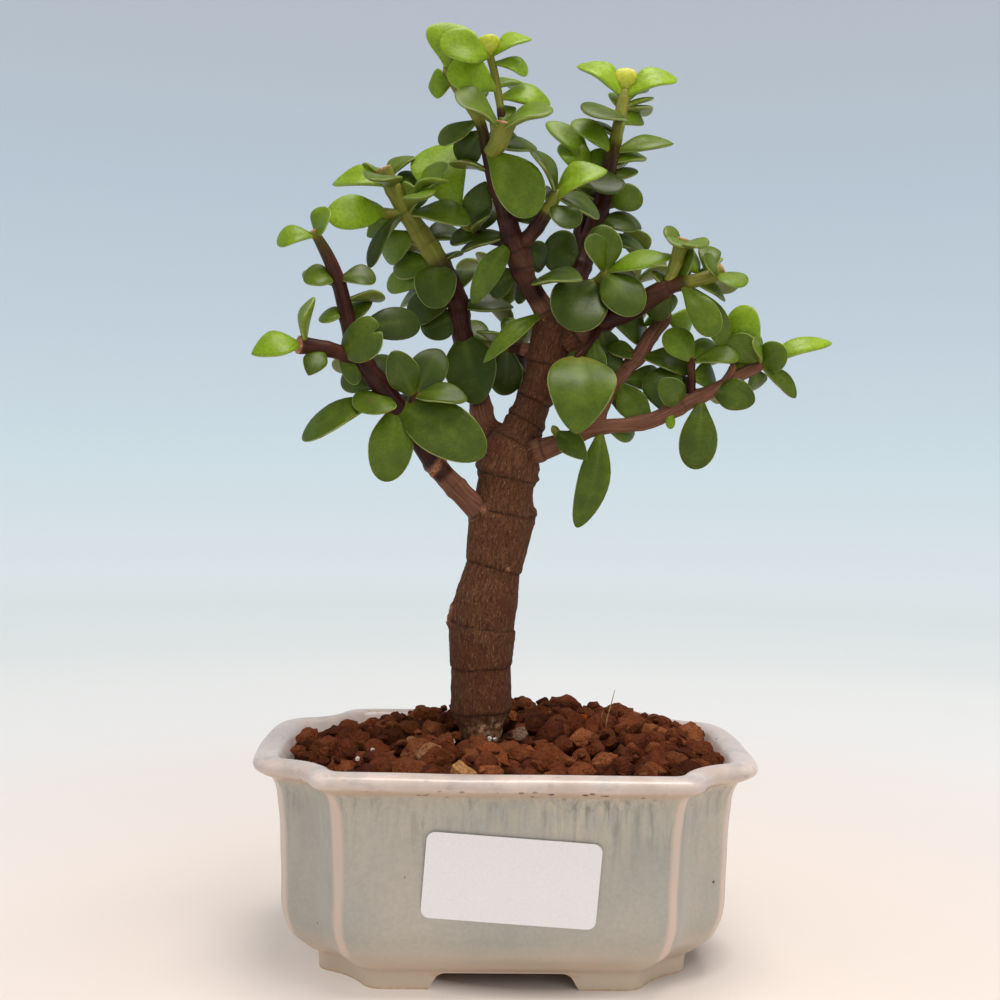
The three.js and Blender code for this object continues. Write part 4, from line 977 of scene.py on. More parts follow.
def make_pot():
    rings = math.prod(cut + 1 for cut in WALL_CUTS)
    rows = [(half, 0, z, 0) for half, z in WALL]
    levels = along_rows(rows, np.linspace(0, 1, rings + 1))[:, (0, 2)]
    pot, ring, turn, out = cylinder_rings("pot_glazed", POT_SIDES, WALL_CUTS)
    step = outline_step(turn)
    shapes = [outline(half) for half, _ in levels]
    flat = np.array([shape[0] for shape in shapes])[ring, step]
    ridge = np.array([shape[1] for shape in shapes])[ring, step]
    z = levels[ring, 1]
    inside = ring > rings * INSIDE_FROM
    # Pressed and fettled by hand, so that no wall is quite true
    around = np.column_stack([flat * out[:, None], z])
    wander = sum(smooth_noise(around, pace) * far for pace, far in HAND)
    wander *= np.clip((z - 3) / 6, 0, 1)
    away = flat / np.hypot(*flat.T)[:, None]
    at = np.column_stack([(flat + away * wander[:, None]) * out[:, None],
                          z + np.clip((z - 44) / 8, 0, 1) * smooth_noise(around, 0.04) * 0.35])
    lay(pot, at)
    rim = np.clip((z - 49.4) / 1.6, 0, 1)
    bend = sum(bell(z - level, width) * much for level, width, much in BENDS)
    thin = np.where(inside, 0.1, np.maximum(ridge * np.clip((z - 5) / 6, 0.45, 1), bend))
    put(pot, "thin", thin)
    put(pot, "rim", rim)
    put(pot, "under_rim", np.where(inside, 0.15, bell(z - LIP_FOOT, 1.3)))
    cutters = [
        arch_cutter("front_arch", CHANNEL_ACROSS, 60, True),
        arch_cutter("side_arch", CHANNEL_ALONG, 80, False),
        prism("underside_recess", [(FOOT_HALF - FOOT_WIDTH, -1), (FOOT_HALF - FOOT_WIDTH, FOOT_HEIGHT)]),
    ]
    begin()
    bpy.ops.mesh.primitive_cylinder_add(vertices=48, radius=DRAIN_RADIUS, depth=20)
    cutters.append(named("drain"))
    for cutter in cutters:
        apply(pot, "BOOLEAN", object=cutter, operation="DIFFERENCE", solver="MANIFOLD")
        bpy.data.objects.remove(cutter)
    outwards(pot)
    normals = np.array([v.normal.z for v in pot.data.vertices])
    z = points_of(pot)[:, 2]
    put(pot, "underneath", np.where((z < FOOT_HEIGHT + 0.2) & (normals < -0.6), 1.0, 0.0))
    seat(pot)
    finished(pot, glaze(), "glaze", "pot", angle=42)


def wall_half(z):
    """The outer wall's half width at a height."""
    outer = WALL[:14]
    return np.interp(z, [row[1] for row in outer], [row[0] for row in outer])


def front_wall(x, z):
    """How far forward the front wall stands at a place on it."""
    half = wall_half(z)
    bow = SIDE_BOW * (half - FOOT_HALF) * FRONT_BOW
    reach = half - CORNER_NOTCH - NOTCH_GROWTH * (half - FOOT_HALF) - RIDGE_ROUNDING
    return half - POT_DEPTH_STEP / 2 + bow * (1 - (x / reach) ** 2)


def make_label():
    """A thin sticker with round corners, which follows the wall and lifts a little at one corner."""
    begin()
    bpy.ops.mesh.primitive_plane_add(size=1)
    label = named("label_sheet")
    lay(label, points_of(label) * (LABEL["width"], LABEL["height"], 0))
    edit(label)
    pick_all()
    bpy.ops.mesh.bevel(offset=LABEL["corner"], segments=6, affect="VERTICES")
    for axis, size, pieces in ((0, LABEL["width"], 16), (1, LABEL["height"], 8)):
        for k in range(1, pieces):
            pick_all()
            place, way = [0, 0, 0], [0, 0, 0]
            place[axis], way[axis] = size * (k / pieces - 0.5), 1
            bpy.ops.mesh.bisect(plane_co=place, plane_no=way)
    done()
    apply(label, "SOLIDIFY", thickness=LABEL["thick"], offset=0)
    at = points_of(label)
    turn = math.radians(LABEL["turn"])
    x = LABEL["x"] + at[:, 0] * math.cos(turn) + at[:, 1] * math.sin(turn)
    z = LABEL["z"] - at[:, 0] * math.sin(turn) + at[:, 1] * math.cos(turn)
    corner = np.hypot(at[:, 0] - LABEL["width"] / 2, at[:, 1] - LABEL["height"] / 2)
    curl, near = LABEL_CURL
    lift = LABEL_OFF + curl * np.clip(1 - corner / near, 0, 1) ** 2
    lay(label, np.column_stack([x, -front_wall(x, z) - lift - at[:, 2], z]))
    outwards(label)
    seat(label)
    finished(label, sticker_paper(), "sticker", "pot_label", angle=40)


# The granules


def soil_height(x, y):
    away = min(1, math.hypot((x - HEAP_CENTRE[0]) / HEAP_REACH[0], (y - HEAP_CENTRE[1]) / HEAP_REACH[1]))
    return SOIL_EDGE + SOIL_HEAP * math.cos(away * math.pi / 2)


FLATS = 10
FLAT_DEPTHS = (0.22, 0.4)
FLATNESS = 0.92
GRAIN_STRETCH = ((0.85, 1.2), (0.8, 1.0), (0.65, 0.9))
GRAIN_RELIEF = ((3.4, 0.085), (8, 0.05))  # how fast, and how far


def grain_shape(name, fineness, draw):
    """One angular grain, about 1 across: a ball with flats cut on it and a rough, pitted skin."""
    begin()
    bpy.ops.mesh.primitive_ico_sphere_add(subdivisions=fineness, radius=0.5)
    grain = named(name)
    at = points_of(grain)
    offset = np.array([draw(), draw(), draw()]) * 40
    for _ in range(FLATS):
        way = unit([draw() - 0.5, draw() - 0.5, draw() - 0.5])
        beyond = np.maximum(0, at @ way - mix(*FLAT_DEPTHS, draw()))
        at = at - beyond[:, None] * way * FLATNESS
    skin = unit_rows(at)
    at = at * [mix(*reach, draw()) for reach in GRAIN_STRETCH]
    rough = sum(smooth_noise(at + offset, pace) * far for pace, far in GRAIN_RELIEF)
    lay(grain, at + skin * rough[:, None])
    return grain


RED = (rgb(116, 65, 38), rgb(124, 71, 43), rgb(102, 56, 34), rgb(138, 84, 52), rgb(86, 46, 29))
TAN = rgb(186, 142, 92)
PALE = rgb(160, 118, 84)
ORANGE = rgb(176, 84, 34)
GREY = rgb(134, 110, 92)
WHITE = rgb(226, 222, 214)
DARK = rgb(50, 32, 24)
# Odd grains that catch the eye: x, y, size, colour, how much they stand out of the heap
ODD_GRAINS = [
    (-11, -31.2, 6.4, TAN, 0.8), (-19, -17, 7, PALE, 1.2), (21.3, 9, 3, ORANGE, 1.2),
    (3.6, -7.5, 4.6, GREY, 1), (-15.5, -8.6, 1.7, WHITE, 1.6), (-36, -22, 1.3, WHITE, 2.4),
    (-33, -12, 1.1, WHITE, 2.6), (-17.5, -10.5, 1.2, WHITE, 1.6), (-13, -9.5, 1.4, WHITE, 1.2),
    (-4, -9.2, 1.5, WHITE, 1.0), (-2.6, -10.2, 1.1, WHITE, 1.2), (-18.5, -7, 2.4, DARK, 1.0),
    (-16.6, -5.4, 2.2, DARK, 1.2), (0.6, -8.4, 2.2, DARK, 1.0), (-20.4, -9.4, 2.6, DARK, 0.6),
    (-23, -5, 4.4, PALE, 0.6),
]
FIBRES = [
    [(26.4, 4, 54.5, 0.15), (27, 3.6, 59, 0.15), (28, 3.2, 63, 0.13), (28.8, 3, 66.5, 0.07)],
    [(26.2, 6, 54.5, 0.1), (26.6, 4, 57.2, 0.1), (25.4, 2.6, 59.4, 0.09), (25.8, 1.6, 61.4, 0.05)],
]
# Layers of grains: which shapes, their pitch, their sizes, how deep they sink and how much that varies
LAYERS = (
    ("chip", 6.6, (7, 9), 4.2, 1.0),
    ("grain", 7.1, (7.2, 11.4), 0.6, 2.0),
    ("chip", 7.4, (2.2, 5), -1.6, 1.4),
)
GRID_HALF = (56, 40)
ROW_CLOSENESS = 0.87  # between rows of a staggered grid, beside its pitch
JITTER = 0.45
BRIGHTNESS = (0.7, 1.3)
SOIL_HALF = (55, 38.8)
SOIL_DIAGONAL = 74.5  # across plus deep, where the notches cut the corners
TRUNK_X = -6
TRUNK_ROOM = 6
FILLING = [(43, 9.9), (46.2, 14.2), (49.2, 40), (52.2, 49.1)]
STRAW = rgb(206, 170, 120)


def painted(obj, colour):
    put(obj, "paint", np.tile(colour[:3], (len(obj.data.vertices), 1)))
    return obj


def has_room(x, y, size):
    """Whether a grain lies clear of the wall and of the trunk."""
    across, deep = abs(x), abs(y)
    in_pot = across < SOIL_HALF[0] - size * 0.38 and deep < SOIL_HALF[1] - size * 0.38
    in_corner = across + deep < SOIL_DIAGONAL - size * 0.55
    return in_pot and in_corner and math.hypot(x - TRUNK_X, y) > TRUNK_ROOM + size * 0.25


def make_granules():
    draw = random_from(SEED + 7)
    shapes = {
        "grain": [grain_shape(f"grain_{k}", 3, draw) for k in range(8)],
        "chip": [grain_shape(f"chip_{k}", 2, draw) for k in range(5)],
    }
    placed = []

    def drop(shape, x, y, z, size, colour):
        copy = copied(shape)
        turn = Matrix.Rotation(draw() * 6.28, 3, "Z") @ Matrix.Rotation((draw() - 0.5) * 1.6, 3, "X")
        lay(copy, points_of(copy) @ np.array(turn).T * size + (x, y, z))
        placed.append(painted(copy, colour))

    for kind, pitch, sizes, sink, spread in LAYERS:
        columns, rows = (int(half / pitch) for half in GRID_HALF)
        for row in range(-rows, rows + 1):
            for column in range(-columns, columns + 1):
                x = (column + 0.5 * (row % 2)) * pitch + (draw() - 0.5) * pitch * JITTER
                y = row * pitch * ROW_CLOSENESS + (draw() - 0.5) * pitch * JITTER
                size = mix(*sizes, draw() ** 1.4)
                z = soil_height(x, y) - sink + (draw() - 0.5) * spread
                shape = shapes[kind][int(draw() * len(shapes[kind]))]
                colour = RED[int(draw() * len(RED))]
                bright = mix(*BRIGHTNESS, draw())
                if has_room(x, y, size):
                    drop(shape, x, y, z, size, tuple(c * bright for c in colour[:3]))
    for x, y, size, colour, stand in ODD_GRAINS:
        shape = shapes["grain"][int(draw() * len(shapes["grain"]))]
        drop(shape, x, y, soil_height(x, y) + stand, size * 1.15, colour)
    for shape in shapes["grain"] + shapes["chip"]:
        bpy.data.objects.remove(shape)
    # The filling under the grains is painted dark: painted shade in the gaps between them.
    placed.append(painted(prism("filling", FILLING), DARK))
    placed += [painted(tube("fibre", rows, 6, 16)[0], STRAW) for rows in FIBRES]
    soil = joined("granules", placed)
    outwards(soil)
    seat(soil)
    finished(soil, granule_stone(), "granules", "soil", angle=38)


# Wood


def skin_marks(obj, age, scar, cut, crust, grain):
    for name, values in (("age", age), ("scar", scar), ("cut", cut), ("crust", crust)):
        put(obj, name, np.clip(values, 0, 1))
    put(obj, "grain", grain)


TRUNK_SIDES = 96
TRUNK_RINGS = 300
UPPER_SCARS = 118  # above this height each ring stands proud, like stacked cups
CUP_STAND = 0.6
CRACK_DEPTH = 0.26
RIDGES, FINE_RIDGES, SWELLS = 0.17, 0.13, 0.4  # how far the bark's relief stands out
ROOT_FLARE = 0.9
FOOT_TOP = 60.8  # where the bark meets the granules


def make_trunk():
    """Each year's ring stands over the last, with a dark crack between them and corky ridges down it."""
    rows = np.array(TRUNK, float)
    spine = rows.copy()
    spine[:, 3] = 1
    obj, centre, way_out, _, travelled, turn, out = tube("trunk_bark", spine[::3], TRUNK_SIDES,
                                                         TRUNK_RINGS)
    height = centre[:, 2]
    grain = np.column_stack([8 * np.cos(turn), 8 * np.sin(turn), travelled])
    near = sum(bell(height - z, 5) for z, _, _ in SCARS)
    tip = sum(bell(height - z, 6) * (right * np.cos(turn) - front * np.sin(turn))
              for z, right, front in SCARS)
    wobble = smooth_noise(grain, (0.2, 0.2, 0.02)) * 0.3 * np.minimum(near, 1)
    level = height + tip + wobble
    radius = np.interp(level, rows[:, 2], rows[:, 3])
    crack = sum(bell(level - z, 0.3) for z, _, _ in SCARS)
    collar = sum(bell(level - z - 1.1, 0.9) for z, _, _ in SCARS if z > UPPER_SCARS)
    ridged = 1 - 2 * np.abs(smooth_noise(grain, (1.0, 1.0, 0.16)))
    finer = 1 - 2 * np.abs(smooth_noise(grain + 31, (2.3, 2.3, 0.36)))
    broad = smooth_noise(grain + 7, (0.16, 0.16, 0.05))
    cork = ridged * RIDGES + finer * FINE_RIDGES + broad * SWELLS
    cork *= np.clip((radius - 2) / 4, 0.3, 1)
    radius = radius + cork - crack * CRACK_DEPTH + collar * CUP_STAND
    cut = np.zeros(len(radius))
    for z, way, stand, width in KNOBS:
        round_way = np.angle(np.exp(1j * (turn - math.radians(way)))) * radius
        away = np.hypot(round_way, level - z) / width
        knob = 1 / (1 + away**4)
        radius = radius + knob * stand * (1 + 0.2 * finer)
        cut = np.maximum(cut, np.clip(bell(away, 0.75) * 1.3 - 0.2, 0, 1) * (0.5 + 0.5 * ridged))
    foot = np.clip((FOOT_TOP - height) / 2, 0, 1)
    radius = radius + foot * smooth_noise(grain, (0.45, 0.45, 0.3)) * ROOT_FLARE
    lay(obj, centre + way_out * (radius * out)[:, None])
    front = np.clip(-np.sin(turn - 0.5), 0, 1)
    crust = foot * front * np.clip(0.6 + smooth_noise(grain, 0.8) * 1.4, 0, 1)
    scar = np.clip(crack * 1.1 - 0.25, 0, 1) * (0.8 + 0.2 * finer)
    skin_marks(obj, np.ones(len(radius)), scar, cut, crust, grain)
    return obj


NODE_PITCH = 9  # between the rings that fallen leaf pairs leave on a limb
NODE_APART = 3.5  # nearer rings than this count as one
# How far up a limb its wrinkled bark goes, where it isn't the usual
OLD_WOOD = {"limb_centre_left": 26, "limb_low_left": 5, "limb_low_right": 7}
OLD_REACH = 15
# The share of these limbs that is smooth and pale, and the stems of theirs that it takes in
PALE_WOOD = {"limb_low_left": 0.16, "limb_low_right": 1.2}
PALE_STEMS = ("main", "fork", "scar")
COLLARS = {"limb_low_left": 10.5}  # where on the main stem an old collar peels
ROOT_IN = 0.35  # how far towards a limb's foot its wood starts, from inside the trunk
ROOT_SWELL = 1.25
STEM_STEP = 0.55
MAIN_SIDES = 24
TWIG_SIDES = 16
NODE_SWELL = 0.11
STEM_RIDGES = 0.22
SMOOTH_AGE, PALE_AGE = 0.55, 0.74  # the age of smooth red bark, and of smooth pale bark


def leaned(limb):
    """The same limb, set back by its lean."""
    foot = limb["stems"]["main"][0]

    def moved(x, y, z):
        far = math.hypot(x - foot[0], z - foot[2]) / LEAN_REACH
        grow = 1 + limb["lean"] * far**1.5 / (y - EYE[1])
        return tuple(eye + (value - eye) * grow for eye, value in zip(EYE, (x, y, z)))

    stems = {key: [moved(*row[:3]) + (row[3],) for row in rows] for key, rows in limb["stems"].items()}
    leaves = {key: [(row[0],) + moved(*row[1:4]) + row[4:] for row in rows]
              for key, rows in limb["leaves"].items()}
    return {**limb, "stems": stems, "leaves": leaves}


def make_stem(limb, key, rows):
    """One stem with its rings, its age and, where it was pruned, its cut end."""
    is_main = key == "main"
    lead = 0
    if is_main:
        start = mix(np.array(limb["heart"], float), np.array(rows[0][:3]), ROOT_IN)
        lead = np.linalg.norm(np.array(rows[0][:3]) - start)
        rows = [tuple(start) + (rows[0][3] * ROOT_SWELL,)] + rows
    length = np.linalg.norm(np.diff(np.array(rows)[:, :3], axis=0), axis=1).sum()
    rings = max(12, int(length / STEM_STEP))
    rings += rings % 2
    sides = MAIN_SIDES if is_main else TWIG_SIDES
    obj, centre, way_out, radius, travelled, turn, out = tube("stem", rows, sides, rings)
    share = (travelled - lead) / (length - lead)
    grain = np.column_stack([radius * np.cos(turn), radius * np.sin(turn), travelled])
    wanted = [lead + leaf[0] * (length - lead) for leaf in limb["leaves"].get(key, [])]
    wanted += [NODE_PITCH * (k + 0.4) for k in range(int(length / NODE_PITCH))]
    marks = []
    for mark in wanted:
        if all(abs(mark - other) > NODE_APART for other in marks):
            marks.append(mark)
    swell = np.zeros(len(radius))
    scar = np.zeros(len(radius))
    for mark in marks:
        wavy = travelled - mark + 0.1 * np.sin(turn * 2 + mark)
        swell = np.maximum(swell, bell(wavy + 0.7, 1.1))
        scar = np.maximum(scar, bell(wavy - 0.25, 0.2))
    thick = np.clip((radius - 1.2) / 1.6, 0, 1)
    age = np.clip(SMOOTH_AGE - (share - limb["young"].get(key, 0.5)) * 3.2, 0.05, SMOOTH_AGE)
    pale = PALE_WOOD.get(limb["name"], 0) if key in PALE_STEMS else 0
    age = np.maximum(age, PALE_AGE * np.clip((pale - share) / 0.08, 0, 1))
    if is_main:
        reach = OLD_WOOD.get(limb["name"], OLD_REACH)
        old = np.clip(1.15 - travelled / reach, 0, 1) * np.clip((radius - 1.7) / 0.8, 0, 1)
        age = np.maximum(age, old)
    ridged = 1 - 2 * np.abs(smooth_noise(grain, (0.9, 0.9, 0.15)))
    rough = ridged * STEM_RIDGES * np.clip((age - 0.6) / 0.3, 0, 1)
    lumps = smooth_noise(grain + 11, (0.25, 0.25, 0.1)) * 0.06 * radius
    ends = 1.0
    cut = np.zeros(len(radius))
    if key in limb["cut"]:
        cut = np.where(share > 0.999, 1.0, 0.0) + bell(share - 1, 0.35 / length) * 0.7
        rough = rough + cut * smooth_noise(grain + 5, 1.1) * 0.25
    else:
        ends = np.sqrt(np.clip((1 - share) * length / (radius * 1.2), 0.02, 1))
    if is_main and limb["name"] in COLLARS:
        peel = bell(travelled - lead - COLLARS[limb["name"]] + 0.5 * np.sin(turn * 2), 1.0)
        torn = smooth_noise(grain + 3, (0.7, 0.7, 0.5))
        rough = rough + peel * (0.45 + 0.8 * torn)
        cut = np.maximum(cut, peel * np.clip(0.6 + 1.5 * torn, 0, 1))
        scar = np.maximum(scar, peel * np.clip(-1.2 * torn, 0, 1))
    radius = radius * (1 + NODE_SWELL * swell * mix(0.6, 1, thick)) * ends
    radius = radius + rough + lumps - scar * 0.1 * thick
    bump_out = cut * (out < 0.5) * 0.1
    along = unit_rows(np.gradient(np.array([row[:3] for row in rows]), axis=0))[-1]
    lay(obj, centre + way_out * (radius * out)[:, None] + along * bump_out[:, None])
    skin_marks(obj, age, scar * 0.7 * thick, cut, np.zeros(len(radius)), grain)
    return obj


# Leaves

LEAF_SEGMENTS = 24
LEAF_RINGS = 18
LEAF_FOOT = 0.13  # half the width of a leaf's foot, beside half its full width
# Each kind of leaf: where it is widest, how fast it narrows to its foot, how blunt and how sharp its tip
# is, and how deep its tip is notched
LEAF_KINDS = {
    "spoon": (0.64, 1.5, 2.3, 0.52, 0), "round": (0.56, 1.1, 2.0, 0.5, 0),
    "paddle": (0.69, 1.7, 2.6, 0.55, 0), "oval": (0.52, 1.25, 1.8, 0.58, 0),
    "pointed": (0.55, 1.35, 1.45, 0.8, 0), "heart": (0.6, 0.6, 3.0, 0.5, 0.16),
    "shield": (0.44, 0.5, 1.7, 0.72, 0), "bud": (0.66, 0.9, 2.6, 0.5, 0),
}


def leaf_shape(kind):
    """One leaf of length 1, width 1 and thickness 1, growing up from the origin, its upper side to +Y."""
    widest, narrowing, bluntness, sharpness, notch = LEAF_KINDS[kind]
    begin()
    bpy.ops.mesh.primitive_uv_sphere_add(segments=LEAF_SEGMENTS, ring_count=LEAF_RINGS, radius=0.5)
    leaf = named("leaf_" + kind)
    edit(leaf)
    for k in range(1, LEAF_RINGS):
        level = -0.5 * math.cos(math.pi * k / LEAF_RINGS)
        share = level + 0.5
        round_half = 0.5 * math.sin(math.pi * k / LEAF_RINGS)
        if share < widest:
            half = mix(LEAF_FOOT, 1, math.sin(math.pi / 2 * share / widest) ** narrowing)
        else:
            half = (1 - ((share - widest) / (1 - widest)) ** bluntness) ** sharpness
        thick = min(1, 0.5 + 1.4 * share) * (1 - share**6) ** 0.55
        pick(leaf, "verts", lambda v: abs(v.co.z - level) < 1e-4)
        bpy.ops.transform.resize(value=(0.5 * half / round_half, 0.5 * thick / round_half, 1),
                                 center_override=(0, 0, level))
    pick(leaf, "verts", lambda v: True)
    bpy.ops.transform.translate(value=(0, 0, 0.5))
    done()
    at = points_of(leaf)
    share = at[:, 2]
    widths = np.array([np.abs(at[np.abs(share - s) < 1e-4, 0]).max() for s in share])
    across = at[:, 0] / np.maximum(widths, 1e-6)
    full = np.array([np.abs(at[np.abs(share - s) < 1e-4, 1]).max() for s in share])
    upright = at[:, 1] / np.maximum(full, 1e-6)
    rim = np.clip(np.abs(across), 0, 1)
    rim = np.maximum(rim, np.clip((share - 0.9) / 0.1, 0, 1))
    # A leaf thins out towards its rim, and its upper side is flatter than the lower one, with a faint rib.
    at[:, 1] = full * np.sign(upright) * np.abs(upright) ** 0.95
    at[:, 1] *= np.where(at[:, 1] > 0, 0.85, 1.15)
    at[:, 1] -= np.where(upright > 0.2, 0.06, 0) * bell(across, 0.2) * bell(share - 0.35, 0.25)
    at[:, 2] -= notch * bell(across, 0.42) * np.clip((share - 0.72) / 0.28, 0, 1)
    lay(leaf, at)
    put(leaf, "rim", rim)
    put(leaf, "rib", bell(across, 0.12) * np.clip(1 - share * 1.1, 0, 1) * (upright > 0))
    put(leaf, "root", np.clip(1 - share / 0.16, 0, 1))
    put(leaf, "under", (upright < -0.05) * 1.0)
    return leaf


ROUND_KINDS = ("round", "spoon", "oval", "round")
YOUNG_KINDS = ("pointed", "spoon", "oval", "pointed")
YOUNG_TONE = 0.7
SLIM_KINDS = ("spoon", "paddle", "oval", "pointed")
BUD_TONE = 1.1
# Leaves with a look of their own, by the x and z of their tips
NOTCHED = (-31.9, 156.9)
BLEMISHED = (-36.3, 136.4)  # has a ring-shaped scar
KIND_AT = {
    NOTCHED: "heart", BLEMISHED: "round", (15.9, 132.1): "shield", (23, 197.6): "shield",
    (-30.8, 119.7): "round", (-6.5, 126.4): "round", (18.5, 213.8): "round", (-16.5, 200): "round",
    (-16, 235): "paddle", (-21.5, 208.5): "paddle", (56.5, 165): "paddle", (46, 124): "spoon",
    (16.5, 229.3): "oval", (17, 109): "oval", (42.8, 226.5): "oval", (79.8, 156.2): "oval",
    (42, 209): "pointed", (4, 231.5): "pointed",
}
ROUND_SLIM = 0.62  # a wider leaf than this, beside its length, is of a round kind
# Between which a leaf's cup and fold are drawn, and how far it may twist, sway and ripple
CUP = (-0.05, 0.16)
FOLD = (-0.08, 0.24)
TWIST, SWAY, RIPPLE = 0.5, 0.1, 0.3
YOUNG_ARCH = 1.7
SPOT_PLACE, SPOT_RADIUS = (-0.4, 0.62), 0.9


def make_leaf(shapes, root, tip, width, facing, tone, draw, kind=None, blemish=False):
    """A copy of one kind of leaf, from its root on the stem's line to its tip."""
    reach = tip - root
    length = np.linalg.norm(reach)
    along = reach / length
    up = unit(facing)
    up = up - along * up.dot(along)
    if np.linalg.norm(up) < 0.25:
        up = np.array([0.0, -1.0, 0.0]) + along * along[1]
    up = unit(up)
    side = np.cross(up, along)
    if kind is None:
        kinds = ROUND_KINDS if width / length > ROUND_SLIM else SLIM_KINDS
        kinds = YOUNG_KINDS if tone > YOUNG_TONE else kinds
        kind = "bud" if tone > BUD_TONE else kinds[int(draw() * len(kinds))]
    leaf = copied(shapes[kind])
    at = points_of(leaf)
    thick = LEAF_THICK * (0.8 if length < SMALL_LEAF else 1) * mix(0.85, 1.05, draw())
    share = at[:, 2]
    across = at[:, 0] * width
    lift = at[:, 1] * thick
    twist = (draw() - 0.5) * TWIST * share
    cup = mix(*CUP, draw()) * across**2 / (width / 2) * np.clip(share * 1.6, 0, 1)
    sway = (draw() - 0.5) * SWAY * length * np.sin(math.pi * share)
    skin = np.column_stack([across, share * length, np.full(len(share), draw() * 50)])
    ripple = smooth_noise(skin, 0.16) * RIPPLE
    fold = mix(*FOLD, draw()) * np.abs(across) * np.sin(math.pi * np.clip(share, 0, 1))
    lift = lift + cup + fold + ripple * np.clip(share * 2, 0, 1)
    across, lift = (across * np.cos(twist) - lift * np.sin(twist) + sway,
                    across * np.sin(twist) + lift * np.cos(twist))
    arch = ARCH * (YOUNG_ARCH if tone > 0.75 else mix(0.7, 1.3, draw()))
    lift = lift + arch * length * np.sin(math.pi * np.clip(share, 0, 1))
    lay(leaf, root + np.outer(share * length, along) + np.outer(across, side) + np.outer(lift, up))
    count = len(share)
    put(leaf, "tone", np.full(count, tone + (draw() - 0.5) * 0.08))
    put(leaf, "grain", np.column_stack([at[:, 0] * width, share * length, np.full(count, draw() * 60)]))
    spot = np.hypot(at[:, 0] * width - SPOT_PLACE[0], (share - SPOT_PLACE[1]) * length)
    put(leaf, "blemish", bell(spot - SPOT_RADIUS, 0.28) if blemish else np.zeros(count))
    return leaf


def leaves_behind(limb, draw):
    """Leaves that the front of the crown hides, each turned against the last."""
    rows = []
    main = limb["stems"]["main"]
    paired = not any(limb["leaves"].values())
    for i, share in enumerate(limb["behind"]):
        point, along = point_along(main, share)
        away = np.array([0, 1, 0.25])
        away = unit(away - along * away.dot(along))
        across = np.cross(along, away)
        start = HIDDEN_TURNS[i % 2] + (draw() - 0.5) * TURN_SPREAD
        for turn in (start, start + math.pi) if paired else (start,):
            out = away * math.cos(turn) + across * math.sin(turn)
            reach = mix(*HIDDEN_REACH, draw())
            tip = point + out * reach * HIDDEN_WAY[0] + along * reach * HIDDEN_WAY[1]
            width = mix(*HIDDEN_WIDTH, draw())
            tone = HIDDEN_TONES[0] + HIDDEN_TONES[1] * share
            rows.append((share, *tip, width, (out[0] * 0.3, out[1] * 0.3, 1), tone))
    return rows


def make_limbs():
    wood, green = bark(), leaf_green()
    shapes = {kind: leaf_shape(kind) for kind in LEAF_KINDS}
    hidden = random_from(SEED + 1)
    draw = random_from(SEED + 2)
    trunk = make_trunk()
    seat(trunk)
    finished(trunk, wood, "bark", "trunk")
    for name, drawn in LIMBS.items():
        limb = {**leaned(drawn), "name": name}
        stems = [make_stem(limb, key, rows) for key, rows in limb["stems"].items()]
        branch = joined(name + "_stems", stems)
        outwards(branch)
        rows = [(key, row) for key, listed in limb["leaves"].items() for row in listed]
        rows += [("main", row) for row in leaves_behind(limb, hidden)]
        leaves = []
        drawn_rows = [row for listed in drawn["leaves"].values() for row in listed]
        for i, (key, (share, x, y, z, width, facing, tone)) in enumerate(rows):
            root = point_along(limb["stems"][key], share)[0]
            first = (drawn_rows[i][1], drawn_rows[i][3]) if i < len(drawn_rows) else None
            leaves.append(make_leaf(shapes, root, np.array([x, y, z]), width, facing, tone, draw,
                                    KIND_AT.get(first), first == BLEMISHED))
        foliage = joined(name + "_leaves", leaves)
        outwards(foliage)
        for piece, material in ((branch, wood), (foliage, green)):
            seat(piece)
            finished(piece, material, "bark" if piece is branch else "foliage", name)
    for shape in shapes.values():
        bpy.data.objects.remove(shape)


def dress_netting():
    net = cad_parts["drainage_net"]
    net.data.materials.clear()
    net.data.materials.append(netting_plastic())


# Camera, floor and light

CAMERA_AT = (-19.88, -349.85, 121.72)
PAN, PITCH, ROLL = 0.0236, 0.01796, 0.01627
LENS = 49.0


def make_camera():
    ahead = Vector((math.sin(PAN) * math.cos(PITCH), math.cos(PAN) * math.cos(PITCH), -math.sin(PITCH)))
    level = Vector((math.cos(PAN), -math.sin(PAN), 0))
    upright = level.cross(ahead)
    right = level * math.cos(ROLL) + upright * math.sin(ROLL)
    up = upright * math.cos(ROLL) - level * math.sin(ROLL)
    turn = Matrix((right, up, -ahead)).transposed()
    bpy.ops.object.camera_add(location=Vector(CAMERA_AT) * MM, rotation=turn.to_euler())
    camera = bpy.context.object
    camera.data.lens = LENS
    camera.data.sensor_width = 36
    camera.data.clip_start = 0.01
    bpy.context.scene.camera = camera


LIT = (0, 0, 0.11)  # where the lights point
FLOOR_REACH = 0.85
COVE = 0.4
COVE_STEPS = 10
WALL_TOP = 1.3
STAGE_SPAN = 1.5
# Along that span from the middle: the paper's colour with a painted fall of light from cream to blue-grey,
# how much of it the lights bring out, and how much it gives by itself as painted glow
PAPER_AS_LIT = (
    (0.07, rgb(232, 219, 209)), (0.14, rgb(228, 220, 214)), (0.22, rgb(227, 226, 224)),
    (0.32, rgb(230, 231, 228)), (0.5, rgb(230, 235, 233)), (0.6, rgb(225, 231, 230)),
    (0.7, rgb(216, 225, 228)), (0.77, rgb(206, 221, 226)), (0.83, rgb(196, 209, 218)),
    (0.887, rgb(183, 196, 207)), (0.92, rgb(183, 192, 201)), (0.95, rgb(184, 191, 201)),
)
PAPER_SHARE = ((0.1, 0.64), (0.33, 0.75), (0.42, 0.77), (0.6, 0.58))
GLOW_SHARE = ((0.1, 0.38), (0.2, 0.36), (0.33, 0.32), (0.42, 0.305), (0.57, 0.48), (0.66, 0.56))
BLACK = (0, 0, 0, 1)
UNDER_POT = (19.5, 27, 0)  # scales the floor so that the pot's foot covers about a circle of 1


